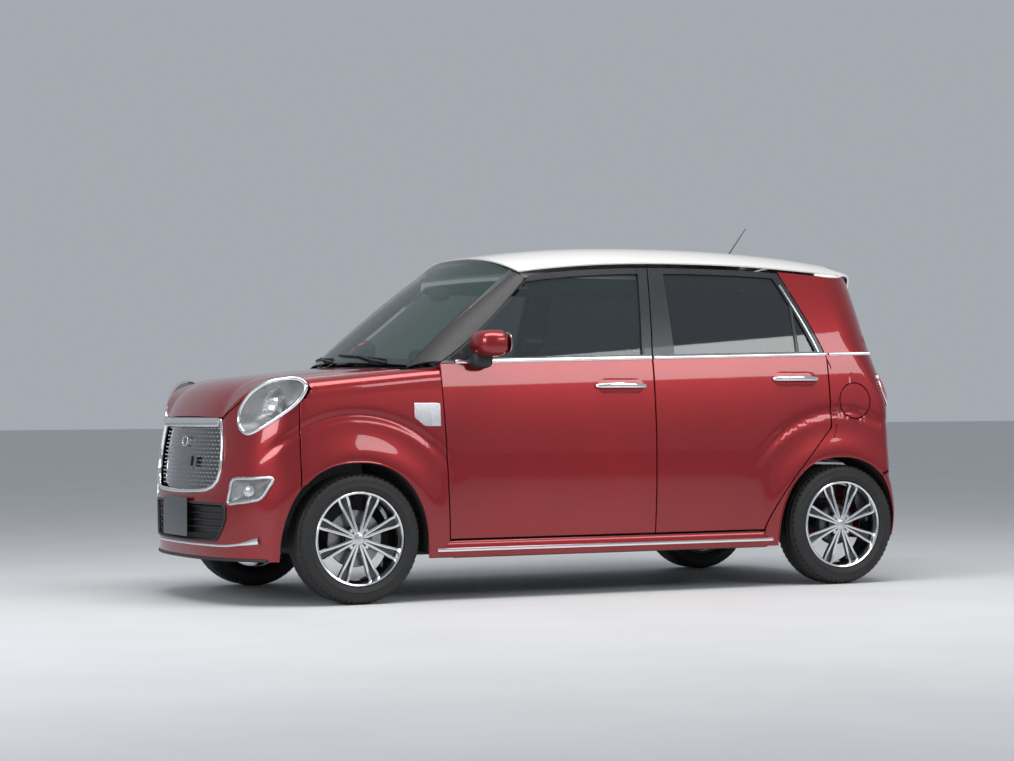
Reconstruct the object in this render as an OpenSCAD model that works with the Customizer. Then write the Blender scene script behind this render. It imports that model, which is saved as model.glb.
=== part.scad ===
// Kei car: four doors, bonnet, tailgate, steered front wheels. +X is forward, +Y is left, +Z is up.

/* [Overall] */
// Overall length
body_l = 3395; // [3200:5:3600]
// Overall width without mirrors
body_w = 1475; // [1400:5:1520]
// Roof height at the centre line
roof_z = 1590; // [1450:5:1750]
// Distance between axles
wheelbase = 2455; // [2300:5:2600]
// Nose ahead of the front axle
front_over = 575; // [500:5:650]
// Underside of the sills
sill_z = 185; // [140:5:230]

/* [Wheels] */
// Track, tyre centre to tyre centre
track = 1300; // [1240:5:1340]
// Tyre radius
tyre_r = 281; // [260:1:300]
// Tyre width
tyre_w = 165; // [145:5:185]
// Rim radius at the bead
rim_r = 198; // [170:1:210]
// Wheel arch opening radius, front
arch_fr = 340; // [310:5:360]
// Wheel arch opening radius, rear
arch_rr = 330; // [300:5:350]

/* [Doors and lids] */
// Height of the waistline at mid length
belt_z = 1058; // [1000:2:1120]
// Bottom edge of the doors
door_z = 267; // [240:1:300]
// Thickness of a door below the waistline
door_t = 90; // [50:5:130]
// Thickness of the window frames
frame_t = 32; // [20:2:50]
// Width of the window frames
frame_w = 45; // [30:1:70]
// Shut line between a moving panel and its neighbours
gap = 6; // [5:0.5:9]
// Line between the front and rear doors
split_x = -335; // [-420:5:-250]

/* [Panels] */
// Thickness of wing, bumper and bonnet skins
skin_t = 8; // [4:1:14]
// Thickness of the roof and its lining
roof_t = 34; // [20:2:60]
// Thickness of window glass
glass_t = 5; // [3:1:8]
// Clearance between fixed pieces
seat_gap = 0.3; // [0.1:0.1:1]

/* [Hidden] */
nose_x = body_l/2;
tail_x = -body_l/2;
axle_fx = nose_x - front_over;
axle_rx = axle_fx - wheelbase;
half_w = body_w/2;
arch_fx = axle_fx + 12;
arch_rx = axle_rx + 16;
arch_z = tyre_r - 9;
belt_slope = 0.0215;
wheel_y = track/2;
king_y = wheel_y - 62;
spindle_r = 14;
run_gap = 0.05;
nose_r = 352;
hood_back = nose_x - 812;
hood_w = half_w - 147.5;
door_top = roof_z - 130;
// stations of the base layout, stretched to the sizes above: length, half width, height
function lx(x) = lookup(x, [[-1697.5, tail_x], [-1332.5, axle_rx], [-900, axle_rx + 432.5],
    [650, axle_fx - 472.5], [1122.5, axle_fx], [1697.5, nose_x]]);
wk = half_w/737.5;
function lz(z) = lookup(z, [[185, sill_z], [267, door_z], [1058, belt_z], [1460, door_top], [1590, roof_z]]);

// ---------- body surface ----------
function mix(a, b, t) = a + (b - a)*t;
function sat(t) = min(1, max(0, t));
function belt(x) = belt_z - belt_slope*x;
function bump(x, z, cx, r) = 15*exp(-pow((norm([x - cx, z - arch_z]) - r)/75, 2));
function flare(x, z) = bump(x, z, arch_fx, arch_fr + 20) + bump(x, z, arch_rx, arch_rr + 20);
function tuck(z) = 30*pow(max(0, 600 - z)/420, 2) + 36*pow(max(0, z - 620)/430, 2);
function oval(t, n) = pow(max(0, 1 - pow(sat(t), n)), 1/n);
// side surface, below and above the waistline
function side_y(x, z) = (half_w - 16 - tuck(z))*oval((x - nose_x + nose_r)/nose_r, 2.4) + flare(x, z);
function body_y(x, z) = z <= belt(x) ? side_y(x, z)
    : side_y(x, belt(x)) - 0.235*(z - belt(x)) - 0.00016*pow(z - belt(x), 2);
// nose surface, from the side angle a and the height
function lean(z) = z < 450 ? 0 : 45*pow((z - 450)/350, 1.6);
function nose_y(a, z, d = 0) = sign(a)*(half_w - 16 - tuck(z) - d)*pow(sin(abs(a)), 1/1.2);
function nose_at(a, z, d = 0) = let (x = nose_x - nose_r + (nose_r - d)*pow(cos(a), 1/1.2) - lean(z)*pow(cos(a), 0.5))
    [x, nose_y(a, z, d) + sign(a)*flare(x, z)*pow(sin(abs(a)), 4), z];
function nose_a(y, z) = sign(y)*asin(pow(min(1, abs(y)/(half_w - 16 - tuck(z))), 1.2));
function nose_end(x) = acos(pow(sat((x - nose_x + nose_r)/nose_r), 1.2));
// tail surface, from the corner angle a (0 at the centre line, 90 where the side begins)
function tail_c(z) = tail_x + 20*pow(max(0, 420 - z)/230, 2) + 100*pow(max(0, z - 880)/600, 1.5);
function tail_r(z) = mix(150, 290, sat((z - 850)/300));
function tail_w(z) = body_y(tail_c(z) + tail_r(z), z);
function tail_at(a, z) = [tail_c(z) + tail_r(z)*(1 - pow(cos(a), 1/1.3)),
    sign(a)*tail_w(z)*pow(sin(abs(a)), 1/1.3), z];
// bonnet height over a point, from the distance behind the nose outline
function hood_e(x, y) = nose_x - nose_r + nose_r*oval(abs(y)/half_w, 2.4) - x + 0.35*max(0, abs(y) - 380*wk);
function hood_z(x, y) = belt_z - 38 - 0.088*(623 - hood_e(x, y)) - 340*exp(-hood_e(x, y)/60)
    - 22*pow(y/600, 2);
roof_mid = lx(-560);
function roof_h(x, y) = roof_z - 78*pow(abs(x - roof_mid)/1000, 2.3)*(x > roof_mid ? 1 : 0.8)
    - 95*pow(abs(y)/(570*wk), 2.6);
// arch edge height over x, arch edge position at a height
function arch_h(x, cx, r) = sill_z + 5 + (arch_z + r - sill_z - 5)*oval(abs(x - cx)/r, 2.35);
function arch_x(z, r) = r*oval((z - sill_z - 5)/(arch_z + r - sill_z - 5), 2.35);

// ---------- panel outlines seen from the side ----------
win_h = door_top - belt_z - 2;
function door_f(z) = z <= belt_z ? mix(lx(688), lx(729), (z - door_z)/(belt_z - door_z))
    : mix(lx(720), lx(235), pow((z - belt_z)/win_h, 0.95));
function split(z) = split_x - (z <= belt_z ? 0 : 44*(z - belt_z)/win_h);
function door_r(z) = z < lz(722) ? mix(lx(-914), lx(-1280), pow(sat((z - door_z)/(lz(722) - door_z)), 1.3))
    : z <= belt_z ? lx(-1280) : mix(lx(-1268), lx(-1085), pow((z - belt_z)/(win_h - 10), 1.15));
// height of the roof's side edge, and of a door row that starts at height z
roof_lip = 8;
function edge_z(x) = roof_h(max(lx(-1330), x), 556*wk);
function row_z(z, x) = z <= belt_z ? z - belt_slope*x*sat((z - door_z)/(belt_z - door_z))
    : mix(belt(x), edge_z(x) - roof_lip - gap - 3.5, (z - belt_z)/(door_top - belt_z));
low_rows = [door_z, lz(340), lz(430), lz(520), lz(620), lz(720), lz(830), lz(940), belt_z - 8];
win_rows = [belt_z + 16, lz(1150), lz(1240), lz(1330), door_top - 30];

// ---------- closed shell between an outer grid P and an inner grid Q ----------
module shell(P, Q, holes = []) {
    n = len(P) - 1;
    m = len(P[0]) - 1;
    N = (n + 1)*(m + 1);
    function on(i, j) = i >= 0 && i < n && j >= 0 && j < m
        && len([for (h = holes) if (i >= h[0] && i < h[1] && j >= h[2] && j < h[3]) 1]) == 0;
    function at(i, j) = i*(m + 1) + j;
    polyhedron(
        points = concat([for (r = P) each r], [for (r = Q) each r]),
        faces = [for (i = [0:n-1], j = [0:m-1]) if (on(i, j))
            let (a = at(i, j), b = at(i+1, j), c = at(i+1, j+1), d = at(i, j+1))
            each concat(
                [[a, d, c], [a, c, b], [a+N, b+N, c+N], [a+N, c+N, d+N]],
                on(i, j-1) ? [] : [[a, b, b+N], [a, b+N, a+N]],
                on(i, j+1) ? [] : [[c, d, d+N], [c, d+N, c+N]],
                on(i-1, j) ? [] : [[d, a, a+N], [d, a+N, d+N]],
                on(i+1, j) ? [] : [[b, c, c+N], [b, c+N, b+N]])],
        convexity = 8);
}
module both() {
    children();
    mirror([0, 1, 0]) children();
}
// grid of side points: rows are heights, columns are [share of the length, extra mm]
function side_grid(zs, cols, r, off) = [for (z = zs) [for (k = cols)
    let (x = mix(r == 0 ? split(z) + gap/2 : door_r(z) + gap, r == 0 ? door_f(z) : split(z) - gap/2, k[0]) + k[1],
        h = row_z(z, x))
    [x, body_y(x, h) - off, h]]];
door_cols = [[0, 0], [0, frame_w], [0.3, 0], [0.5, 0], [0.7, 0], [1, -frame_w], [1, 0]];
module door(r) {
    zs = concat(low_rows, win_rows, [door_top]);
    t = [for (z = zs) z < belt_z - 10 ? door_t : frame_t];
    P = side_grid(zs, door_cols, r, 0);
    Q = [for (i = [0:len(zs)-1]) [for (p = P[i]) [p[0], p[1] - t[i], p[2]]]];
    shell(P, Q, [[len(low_rows), len(zs) - 2, 1, 5]]);
}
module door_glass(r) {
    c = [[0, frame_w + 1.8], [0.3, 0], [0.5, 0], [0.7, 0], [1, -frame_w - 1.8]];
    P = side_grid(win_rows, c, r, frame_t/2 - glass_t/2);
    n = len(win_rows) - 1;
    up = [for (i = [0:n]) i == 0 ? 1 : i == n ? -1 : 0];
    A = [for (i = [0:n]) [for (p = P[i]) [p[0], p[1], p[2] + up[i]]]];
    B = [for (i = [0:n]) [for (p = P[i]) [p[0], p[1] - glass_t, p[2] + up[i]]]];
    shell(A, B);
}
module front_door() color([0.55, 0.02, 0.05]) door(0);
module rear_door() color([0.55, 0.02, 0.05]) door(1);
module front_door_glass() color([0.4, 0.5, 0.5, 0.4]) door_glass(0);
module rear_door_glass() color([0.4, 0.5, 0.5, 0.4]) door_glass(1);

// ---------- front end ----------
function hood_front(y) = nose_x - nose_r + nose_r*oval(abs(y)/half_w, 2.4) - 46 - 40*sat((abs(y)/wk - 470)/110);
function hood_side(x) = hood_w + 26*sat((lx(1500) - x)/600);
module bonnet() color([0.55, 0.02, 0.05]) {
    us = [0, 0.15, 0.35, 0.55, 0.72, 0.85, 0.94, 1];
    vs = [-1, -0.92, -0.8, -0.62, -0.4, -0.2, 0, 0.2, 0.4, 0.62, 0.8, 0.92, 1];
    P = [for (u = us) [for (v = vs) let (y1 = v*hood_w, xb = hood_back + 105*(1 - v*v), xf = hood_front(y1),
        x = mix(xb, xf, u), y = v*hood_side(x)) [x, y, hood_z(x, y)]]];
    Q = [for (i = [0:len(us)-1]) [for (p = P[i]) [p[0], p[1], p[2] - (i > 6 ? 8 : 18)]]];
    shell(P, Q);
}
// rows up the wing: t is 0 at the arch edge and 1 at the bonnet seam
function wing_pt(s, t) = let (
    za = t < 0.7 ? mix(sill_z + 5, lz(945), t/0.7) : lz(945) + 75*sin((t - 0.7)*300),
    xa = door_f(max(door_z, min(belt_z, za + 10))) + gap,
    x = mix(xa, nose_x - 308, s),
    zb = arch_h(x, arch_fx, arch_fr),
    ys = hood_side(x) + gap, zs = hood_z(x, ys) - 2,
    z = t < 0.7 ? mix(zb, zs - 75, t/0.7) : zs - 75 + 75*sin((t - 0.7)*300),
    y = t < 0.7 ? side_y(x, z) : mix(ys, side_y(x, z), cos((t - 0.7)*300)))
    [x, y, z];
module front_fender() color([0.55, 0.02, 0.05]) {
    ts = [0, 0.12, 0.25, 0.4, 0.55, 0.7, 0.78, 0.86, 0.93, 1];
    ss = [0, 0.07, 0.137, 0.152, 0.17, 0.2, 0.25, 0.33, 0.45, 0.58, 0.7, 0.82, 0.92, 1];
    P = [for (t = ts) [for (s = ss) wing_pt(s, t)]];
    Q = [for (i = [0:len(ts)-1]) let (a = ts[i] < 0.7 ? 0 : (ts[i] - 0.7)*300)
        [for (p = P[i]) [p[0], p[1] - skin_t*cos(a), p[2] - skin_t*sin(a)]]];
    shell(P, Q);
}
// half width of the grille openings at a height, top edge of the bumper at a half width
function mouth(z) = wk*lookup(z, [[sill_z, 400], [lz(276), 392], [lz(320), 430], [lz(380), 460], [lz(432), 460],
    [lz(491), 320], [lz(560), 410], [lz(640), 424], [lz(720), 412], [lz(800), 380]]);
function bumper_top(y) = lz(lookup(abs(y)/wk, [[0, 790], [379, 790], [490, 826], [530, 735], [546, 726], [600, 738],
    [660, 800], [700, 850], [735, 905]]));
bumper_mid = lz(640);
bumper_hi = lz(800);
bumper_rows = [0, 0.12, 0.2, 0.3, 0.4, 0.5, 0.6, 0.7, 0.8, 0.9, 1];
function bumper_z(k) = [sill_z + 5, lz(230), lz(276), lz(320), lz(380), lz(432), lz(491), lz(560), lz(640), lz(720), lz(800)][k];
module front_bumper() color([0.55, 0.02, 0.05]) difference() {
    union() {
        n = 10;
        P = nose_grid(0, n, 0);
        Q = nose_grid(0, n, skin_t);
        shell(P, Q, [[6, 12, 2, 5], [6, 12, 6, 10], [13, 16, 5, 7], [2, 5, 5, 7]]);
        plate_pad(nose_x - 16, 10);
    }
    plate_holes(nose_x - 30, 40);
}
plate_y = 105;
plate_z = lz(452);
module plate_pad(x, t) translate([x, -140, plate_z - 14]) cube([t, 280, 28]);
module plate_holes(x, l) for (y = [-plate_y, plate_y])
    translate([x, y, plate_z]) rotate([0, 90, 0]) cylinder(r = 3.2, h = l, $fn = 24);
// nose points: six columns between the mouth edges, six more to each side
function nose_grid(k0, k1, d) = transpose([for (k = [k0:k1]) let (z0 = bumper_z(k))
    [for (j = [-9:9]) nose_pt(j, z0, k, d)]]);
function nose_pt(j, z0, k, d) = let (
    s = abs(j), ym = mouth(z0),
    a1 = nose_a(ym, z0),
    xe = max(nose_x - 303, arch_fx + arch_x(min(z0, arch_z + arch_fr - 12), arch_fr)),
    zr = z0 <= bumper_mid ? z0 : mix(bumper_mid, lz(860), (z0 - bumper_mid)/(bumper_hi - bumper_mid)),
    a2 = nose_end(xe + lean(zr)*pow(cos(nose_end(xe)), 0.5)),
    a = s <= 3 ? nose_a(ym*s/3, z0) : mix(a1, a2, (s - 3)/6),
    yy = nose_y(a, z0),
    zt = bumper_top(yy),
    z = z0 <= bumper_mid ? z0 : mix(bumper_mid, zt, (z0 - bumper_mid)/(bumper_hi - bumper_mid)))
    nose_at(sign(j)*a, z, d);
function transpose(m) = [for (j = [0:len(m[0])-1]) [for (i = [0:len(m)-1]) m[i][j]]];
function mouth_grid(zs, d, g) = [for (j = [-6:6]) [for (z = zs)
    nose_at(nose_a(sign(j)*(mouth(z <= bumper_mid ? z : mix(bumper_mid, bumper_hi, (z - bumper_mid)/(lz(790) - bumper_mid)))
        - g)*abs(j)/6, z), z, d)]];
module front_grille() color([0.08, 0.08, 0.09]) {
    up = [lz(491) + 0.4, lz(560), lz(640), lz(715), lz(786)];
    low = [lz(276) + 0.4, lz(320), lz(380), lz(432) - 0.4];
    shell(mouth_grid(up, 4, 0.9), mouth_grid(up, 26, 0.9));
    shell(mouth_grid(low, 4, 0.9), mouth_grid(low, 26, 0.9));
}
// headlamp between the bumper top and the bonnet seam
function lamp_hi(y) = lz(lookup(y/wk, [[496, 830], [515, 880], [545, 920], [583, 946], [640, 962], [684, 962],
    [706, 948], [722, 925]]));
function lamp_at(y, z, d) = let (a = nose_a(min(y, 700*wk), z)) nose_at(a, z, d);
lamp_ys = [504, 520, 545, 575, 605, 635, 660, 682]*wk;
module headlamp() {
    P = [for (y = lamp_ys) [for (t = [0, 0.25, 0.5, 0.75, 1]) let (
        z = mix(bumper_top(y) + 2.6, lamp_hi(y) - 28, t), q = lamp_at(y, z, 4)) q]];
    Q = [for (y = lamp_ys) [for (t = [0, 0.25, 0.5, 0.75, 1]) let (
        z = mix(bumper_top(y) + 2.6, lamp_hi(y) - 28, t), q = lamp_at(y, z, 4), k = sat((700*wk - y)/160))
        [q[0] - 12 - 38*k, mix(600*wk, q[1] - 12, 0.8), mix(lz(840), q[2], 0.7)]]];
    shell(P, Q);
}
// fog lamp filling its opening in the bumper, k is the share in from the opening's edge
function fog_in(j, z, d) = let (k = 0.014) j == 4 ? mix(nose_pt(4, z, 0, d), nose_pt(5, z, 0, d), k)
    : j == 7 ? mix(nose_pt(7, z, 0, d), nose_pt(6, z, 0, d), k) : nose_pt(j, z, 0, d);
function fog_col(j, d) = let (a = fog_in(j, lz(432), d), b = fog_in(j, lz(491), d), c = fog_in(j, lz(560), d))
    [mix(a, b, 0.014), b, mix(c, b, 0.014)];
module fog_lamp() {
    P = [for (j = [4:7]) fog_col(j, 2)];
    Q = [for (j = [4:7]) fog_col(j, 30)];
    shell(P, Q);
}
module front_lamps() color([0.9, 0.92, 0.95]) both() {
    headlamp();
    fog_lamp();
}

// ---------- glass and roof ----------
function screen_x0(y) = lx(950) - 115*pow(y/(600*wk), 2);
function screen_x1(y) = lx(352) - 70*pow(y/(540*wk), 2);
function screen_pt(u, y0) = let (y = y0*mix(1, 0.835, u), x = mix(screen_x0(y0), screen_x1(y), u),
    z0 = hood_z(hood_back + 60, 0) + 14, z1 = roof_h(screen_x1(y) - 8, y))
    [x + 22*u*(1 - u), y, mix(z0 - 20*pow(y/(600*wk), 2), z1, u) + 60*u*(1 - u)];
screen_us = [0, 0.2, 0.4, 0.6, 0.8, 0.987];
screen_ys = [-590, -520, -400, -270, -135, 0, 135, 270, 400, 520, 590]*wk;
module windshield() color([0.4, 0.5, 0.5, 0.4]) {
    P = [for (y = screen_ys) [for (u = screen_us) screen_pt(u, y)]];
    Q = [for (r = P) [for (p = r) [p[0] - 3, p[1], p[2] - glass_t]]];
    shell(P, Q);
}
roof_vs = [-1, -0.94, -0.88, -0.75, -0.55, -0.3, 0, 0.3, 0.55, 0.75, 0.88, 0.94, 1];
roof_xs = [0, 0.08, 0.2, 0.35, 0.5, 0.65, 0.8, 0.92, 1];
roof_end = tail_x + 228;
module roof_panel() color([0.93, 0.92, 0.88]) {
    P = [for (s = roof_xs) [for (v = roof_vs) let (
        x0 = screen_x1(v*540*wk), x = mix(x0, roof_end + 30*v*v, s),
        w = body_y(min(x, lx(200)), door_top) - 3 - 34*pow(sat((lx(-1100) - x)/370), 2), y = v*w)
        [x, y, roof_h(x, y)]]];
    Q = [for (i = [0:len(P)-1]) [for (j = [0:len(roof_vs)-1]) let (p = P[i][j],
        k = abs(roof_vs[j]) > 0.9 || (i > 6 && abs(roof_vs[j]) > 0.7))
        [p[0], p[1], p[2] - (k ? roof_lip : roof_t)]]];
    shell(P, Q);
}

// ---------- rear end ----------
edge_a = 54;
fuel_x = tail_x + 282;
fuel_z = lz(863);
// a side point from w, the run along the side and round the rear corner
corner_l = 130;
function wrap(w, z) = let (x1 = tail_c(z) + tail_r(z), k = (x1 - w)/corner_l)
    k <= 0 ? [w, body_y(w, z), z] : tail_at(mix(90, edge_a, min(1, k)), z);
function wrap_a(w, z) = let (x1 = tail_c(z) + tail_r(z), k = (x1 - w)/corner_l) 90*sat(k);
function corner_w(z) = tail_c(z) + tail_r(z) - corner_l;
function arch_pt(a) = [arch_rx + arch_rr*pow(abs(cos(a)), 0.851)*sign(cos(a)),
    sill_z + 5 + (arch_z + arch_rr - sill_z - 5)*pow(sin(a), 0.851)];
bumper_zr = lz(545);
function quarter_top(w) = let (p = wrap(w, door_top)) min(edge_z(w), roof_h(p[0], p[1])) - roof_lip + 0.4;
quarter_tip = corner_w(quarter_top(tail_x + 197));
quarter_back = door_r(sill_z + 5) - lx(-900) + 21;
// outer ends of the quarter's columns, up the door edge, along the roof and down the tail edge
quarter_out = concat(
    [for (z = concat([sill_z + 5], [for (i = [0:5]) low_rows[i]], [lz(744), lz(830), lz(940), belt_z - 8], win_rows))
        let (x = door_r(z) - quarter_back*(door_top - z)/(door_top - sill_z - 5)) [x, row_z(z, x)]],
    [for (s = [0, 0.25, 0.5, 0.75, 1]) let (x = mix(door_r(door_top), quarter_tip, s)) [x, quarter_top(x)]],
    [for (z = [1330, 1200, 1080, 970, 860, 760, 650, 545]) [corner_w(lz(z)), lz(z)]]);
// inner ends, as angles around the wheel arch, and the points that the columns bend at
quarter_in = [0, 9, 16, 27, 39, 54, 71, 77, 81.5, 86.5, 89, 90.8, 92.2, 94, 96.3, 98.7, 101, 103.5, 106, 108.5, 110.5,
    112.5, 114.5, 116.5, 118.5, 121, 124, 127, 130];
quarter_mid = [[-1278, 690], [-1290, 700], [-1302, 730], [-1310, 780], [-1317, 850], [-1326, 1040], [-1340, 1030],
    [-1356, 1022], [-1372, 1015], [-1388, 1010], [-1402, 1006], [-1416, 1002], [-1430, 999], [-1444, 996], [-1457, 990],
    [-1470, 978], [-1486, 955], [-1508, 920], [-1536, 860], [-1562, 785], [-1580, 710], [-1592, 630]];
quarter_ks = [0, 0.12, 0.26, 0.5, 0.75, 1];
function quarter_w(j, k) = let (p = arch_pt(quarter_in[j]), q = quarter_out[j], last = len(quarter_in) - 1,
    m = j < 6 || j == last ? (p + q)/2 : [lx(quarter_mid[j - 6][0]), lz(quarter_mid[j - 6][1])])
    j == last ? [mix(p[0], q[0], k), mix(q[1], p[1], pow(1 - k, 2.3))]
    : k < 0.5 ? mix(p, m, 2*k) : mix(m, q, 2*k - 1);
module rear_quarter() color([0.55, 0.02, 0.05]) difference() {
    n = len(quarter_in) - 1;
    W = [for (k = quarter_ks) [for (j = [n:-1:0]) quarter_w(j, k)]];
    P = [for (r = W) [for (w = r) wrap(w[0], w[1])]];
    Q = [for (i = [0:len(W)-1]) [for (j = [0:n]) let (p = P[i][j], a = wrap_a(W[i][j][0], W[i][j][1]),
        h = W[i][j][1],
        t = h < 700 ? skin_t : mix(skin_t, 40, sat((h - 700)/100)) - 14*sat((h - 1350)/50))
        [p[0] + t*sin(a), p[1] - t*cos(a), p[2]]]];
    shell(P, Q);
    fuel_hole(89);
}
module fuel_hole(r) translate([fuel_x, half_w - 60, fuel_z]) rotate([-90, 0, 0])
    cylinder(r = r, h = 200, $fn = 48);
module fuel_lid() color([0.55, 0.02, 0.05]) intersection() {
    ks = [-100, -60, -20, 20, 60, 100];
    P = [for (z = ks) [for (x = ks) [fuel_x + x, body_y(fuel_x + x, fuel_z + z), fuel_z + z]]];
    Q = [for (r = P) [for (p = r) [p[0], p[1] - 6, p[2]]]];
    shell(P, Q);
    fuel_hole(83);
}
// tail panels: columns are shares of the half width of the opening
function tail_pt(v, z, d = 0, cut = 14) = let (p = tail_at(edge_a, z), ym = p[1] - cut,
    y = v*ym, a = asin(min(1, pow(abs(y)/tail_w(z), 1.3))), q = tail_at(a, z)) [q[0] + d, y, z];
gate_vs = [-1, -0.88, -0.7, -0.45, -0.2, 0.2, 0.45, 0.7, 0.88, 1];
gate_zs = [bumper_zr + 12, lz(640), lz(740), lz(840), lz(930), lz(1010), lz(1080), lz(1180), lz(1290), lz(1390),
    lz(1440)];
module tailgate() color([0.55, 0.02, 0.05]) {
    A = [for (z = gate_zs) [for (v = gate_vs) tail_pt(v, z)]];
    B = [for (z = gate_zs) [for (v = gate_vs) tail_pt(v, z, z < lz(1000) ? 55 : 34)]];
    tip = [for (v = gate_vs) let (p = tail_pt(v, lz(1440))) [p[0] - 22, p[1], roof_h(p[0], p[1]) - 8]];
    tip2 = [for (p = tip) [p[0] + 70, p[1], p[2] - 34]];
    end = [for (p = tip) [roof_end - gap + 30*pow(p[1]/540, 2), p[1], roof_h(roof_end, p[1])]];
    end2 = [for (p = end) [p[0], p[1], p[2] - 34]];
    shell(concat(A, [tip, end]), concat(B, [tip2, end2]), [[5, 9, 1, 8]]);
}
module tailgate_glass() color([0.2, 0.25, 0.25, 0.5]) {
    zs = [lz(1010) + 0.6, lz(1080), lz(1180), lz(1290), lz(1390) - 0.6];
    vs = [-0.876, -0.7, -0.45, -0.2, 0.2, 0.45, 0.7, 0.876];
    A = [for (z = zs) [for (v = vs) tail_pt(v, z, 4)]];
    B = [for (z = zs) [for (v = vs) tail_pt(v, z, 4 + glass_t)]];
    shell(A, B);
}
module tail_lamps() color([0.7, 0.05, 0.05]) both() {
    P = [for (z = [lz(840), lz(890), lz(940), lz(990)]) [for (a = [57, 66, 76]) tail_at(a, z) - [12, -12, 0]*0.7]];
    Q = [for (z = [lz(840), lz(890), lz(940), lz(990)]) [for (a = [57, 66, 76]) tail_at(a, z) - [2.6, -2.6, 0]*0.7]];
    shell([for (r = P) [r[2], r[1], r[0]]], [for (r = Q) [r[2], r[1], r[0]]]);
}
module rear_bumper() color([0.55, 0.02, 0.05]) difference() {
    union() {
        zs = [sill_z + 5, lz(260), lz(340), lz(420), lz(480), bumper_zr];
        P = [for (z = zs) [for (j = [-9:9]) rear_bumper_pt(j, z, 0)]];
        Q = [for (z = zs) [for (j = [-9:9]) rear_bumper_pt(j, z, skin_t)]];
        shell(P, Q);
        translate([tail_x + 5, -140, plate_z + 14]) cube([10, 280, 28]);
    }
    translate([0, 0, 28]) plate_holes(tail_x - 5, 40);
}
function rear_bumper_pt(j, z0, d) = let (s = abs(j)/9,
    z1 = min(z0, bumper_zr - 43), z = z0 < bumper_zr ? z0 : mix(bumper_zr + 0.3, bumper_zr - 41, pow(s, 5)),
    xe = arch_rx - arch_x(z1, arch_rr), c = tail_c(z1), r = tail_r(z1),
    a = s*acos(pow(sat(1 - (xe - c)/r), 1.3)), q = tail_at(a, z))
    [q[0] + d*cos(a), sign(j)*(q[1] - d*sin(a)), z];

// ---------- floor, frames and liners ----------
floor_y = half_w - 177.8;
floor_z = sill_z + 36;
boot_z = sill_z + 190;
wall_x = arch_fx - arch_fr - 35.3;
rear_wall = axle_rx + 412.5;
module floor_pan() color([0.12, 0.12, 0.13]) {
    translate([rear_wall + 20, -floor_y, floor_z - 26]) cube([wall_x - seat_gap - rear_wall - 20, 2*floor_y, 26]);
    translate([rear_wall, -500*wk, floor_z - 26]) cube([26, 1000*wk, boot_z - floor_z + 26]);
    translate([tail_x + 77.5, -500*wk, boot_z - 24]) cube([rear_wall + 10 - tail_x - 77.5, 1000*wk, 24]);
    translate([tail_x + skin_t + 3.2, -60, boot_z - 24]) cube([80, 120, 24]);
}
function a_in(u) = let (p = screen_pt(mix(0, 0.985, u), 600*wk)) [p[0] - 2, p[1] + 2, p[2] + 2];
function a_out(u) = let (h = mix(belt_z + 2, door_top - 44, u), x = door_f(h) + gap*2, z = row_z(h, x))
    [x, body_y(x, z) - 2, z];
module side_frame() color([0.05, 0.05, 0.06]) {
    // windscreen pillar
    us = [0, 0.2, 0.4, 0.6, 0.8, 1];
    P = [for (u = us) [for (k = [0, 0.5, 1]) mix(a_in(u), a_out(u), k) + [0, 4, 4]*k*(1 - k)*4]];
    Q = [for (r = P) [for (k = [0:2]) r[k] - [0, mix(10, 26, k/2), mix(14, 0, k/2)]]];
    shell([for (r = P) [r[2], r[1], r[0]]], [for (r = Q) [r[2], r[1], r[0]]]);
    // centre pillar
    zs = [door_z - 6.7, lz(500), lz(760), lz(1000), lz(1040), lz(1200), lz(1420)];
    b = [for (z = zs) [for (x = [-1, 0, 1]) let (xx = split(z) - 10 + x*50,
        y = body_y(xx, min(z, door_top)) - (z < belt_z ? door_t : frame_t) - 8) [xx, y, z]]];
    shell(b, [for (r = b) [for (p = r) p - [0, 34, 0]]]);
    // roof rail
    xs = [for (x = [-1250, -1000, -700, -400, -100, 200, 262]) lx(x)];
    c = [for (z = [door_top - 68, door_top - 32]) [for (x = xs) [x, body_y(x, door_top - 20) - frame_t - 14, z]]];
    shell(c, [for (r = c) [for (p = r) p - [0, 30, 0]]]);
}
module side_frames() both() {
    side_frame();
    color([0.5, 0.02, 0.05]) translate([rear_wall - 0.2, half_w - 177.5, sill_z])
        cube([lx(670) - rear_wall + 0.2, 144, door_z - sill_z - 7]);
}
module arch(cx, r, y0, y1, back) intersection() {
    translate([cx, y0, arch_z]) rotate([-90, 0, 0]) difference() {
        cylinder(r = r + 5, h = y1 - y0, $fn = 64);
        translate([0, 0, -1]) cylinder(r = r, h = y1 - y0 + 2, $fn = 64);
    }
    translate([cx - back, y0 - 5, arch_z - 60]) cube([back + 600, y1 - y0 + 10, 600]);
}
module wheel_arch_liners() color([0.05, 0.05, 0.05]) both() {
    arch(arch_fx, arch_fr + 6, wheel_y - 198, wheel_y + 14, 600);
    arch(arch_rx, arch_rr + 6, 500*wk + seat_gap, wheel_y + 22, 245);
}
module cowl_panel() color([0.08, 0.08, 0.09]) {
    z0 = hood_z(hood_back + 60, 0) - 30;
    ys = [-590, -400, -200, 0, 200, 400, 590]*wk;
    P = [for (k = [0, 1]) [for (y = ys) [k == 1 ? hood_back + 105*(1 - pow(y/hood_w, 2)) - gap - 4 : wall_x + 4,
        y, z0 + k*4]]];
    shell(P, [for (r = P) [for (p = r) p - [0, 0, 14]]]);
    translate([wall_x, -floor_y - seat_gap, sill_z + 10]) cube([24, 2*floor_y + 2*seat_gap, z0 - sill_z - 20]);
}
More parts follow.
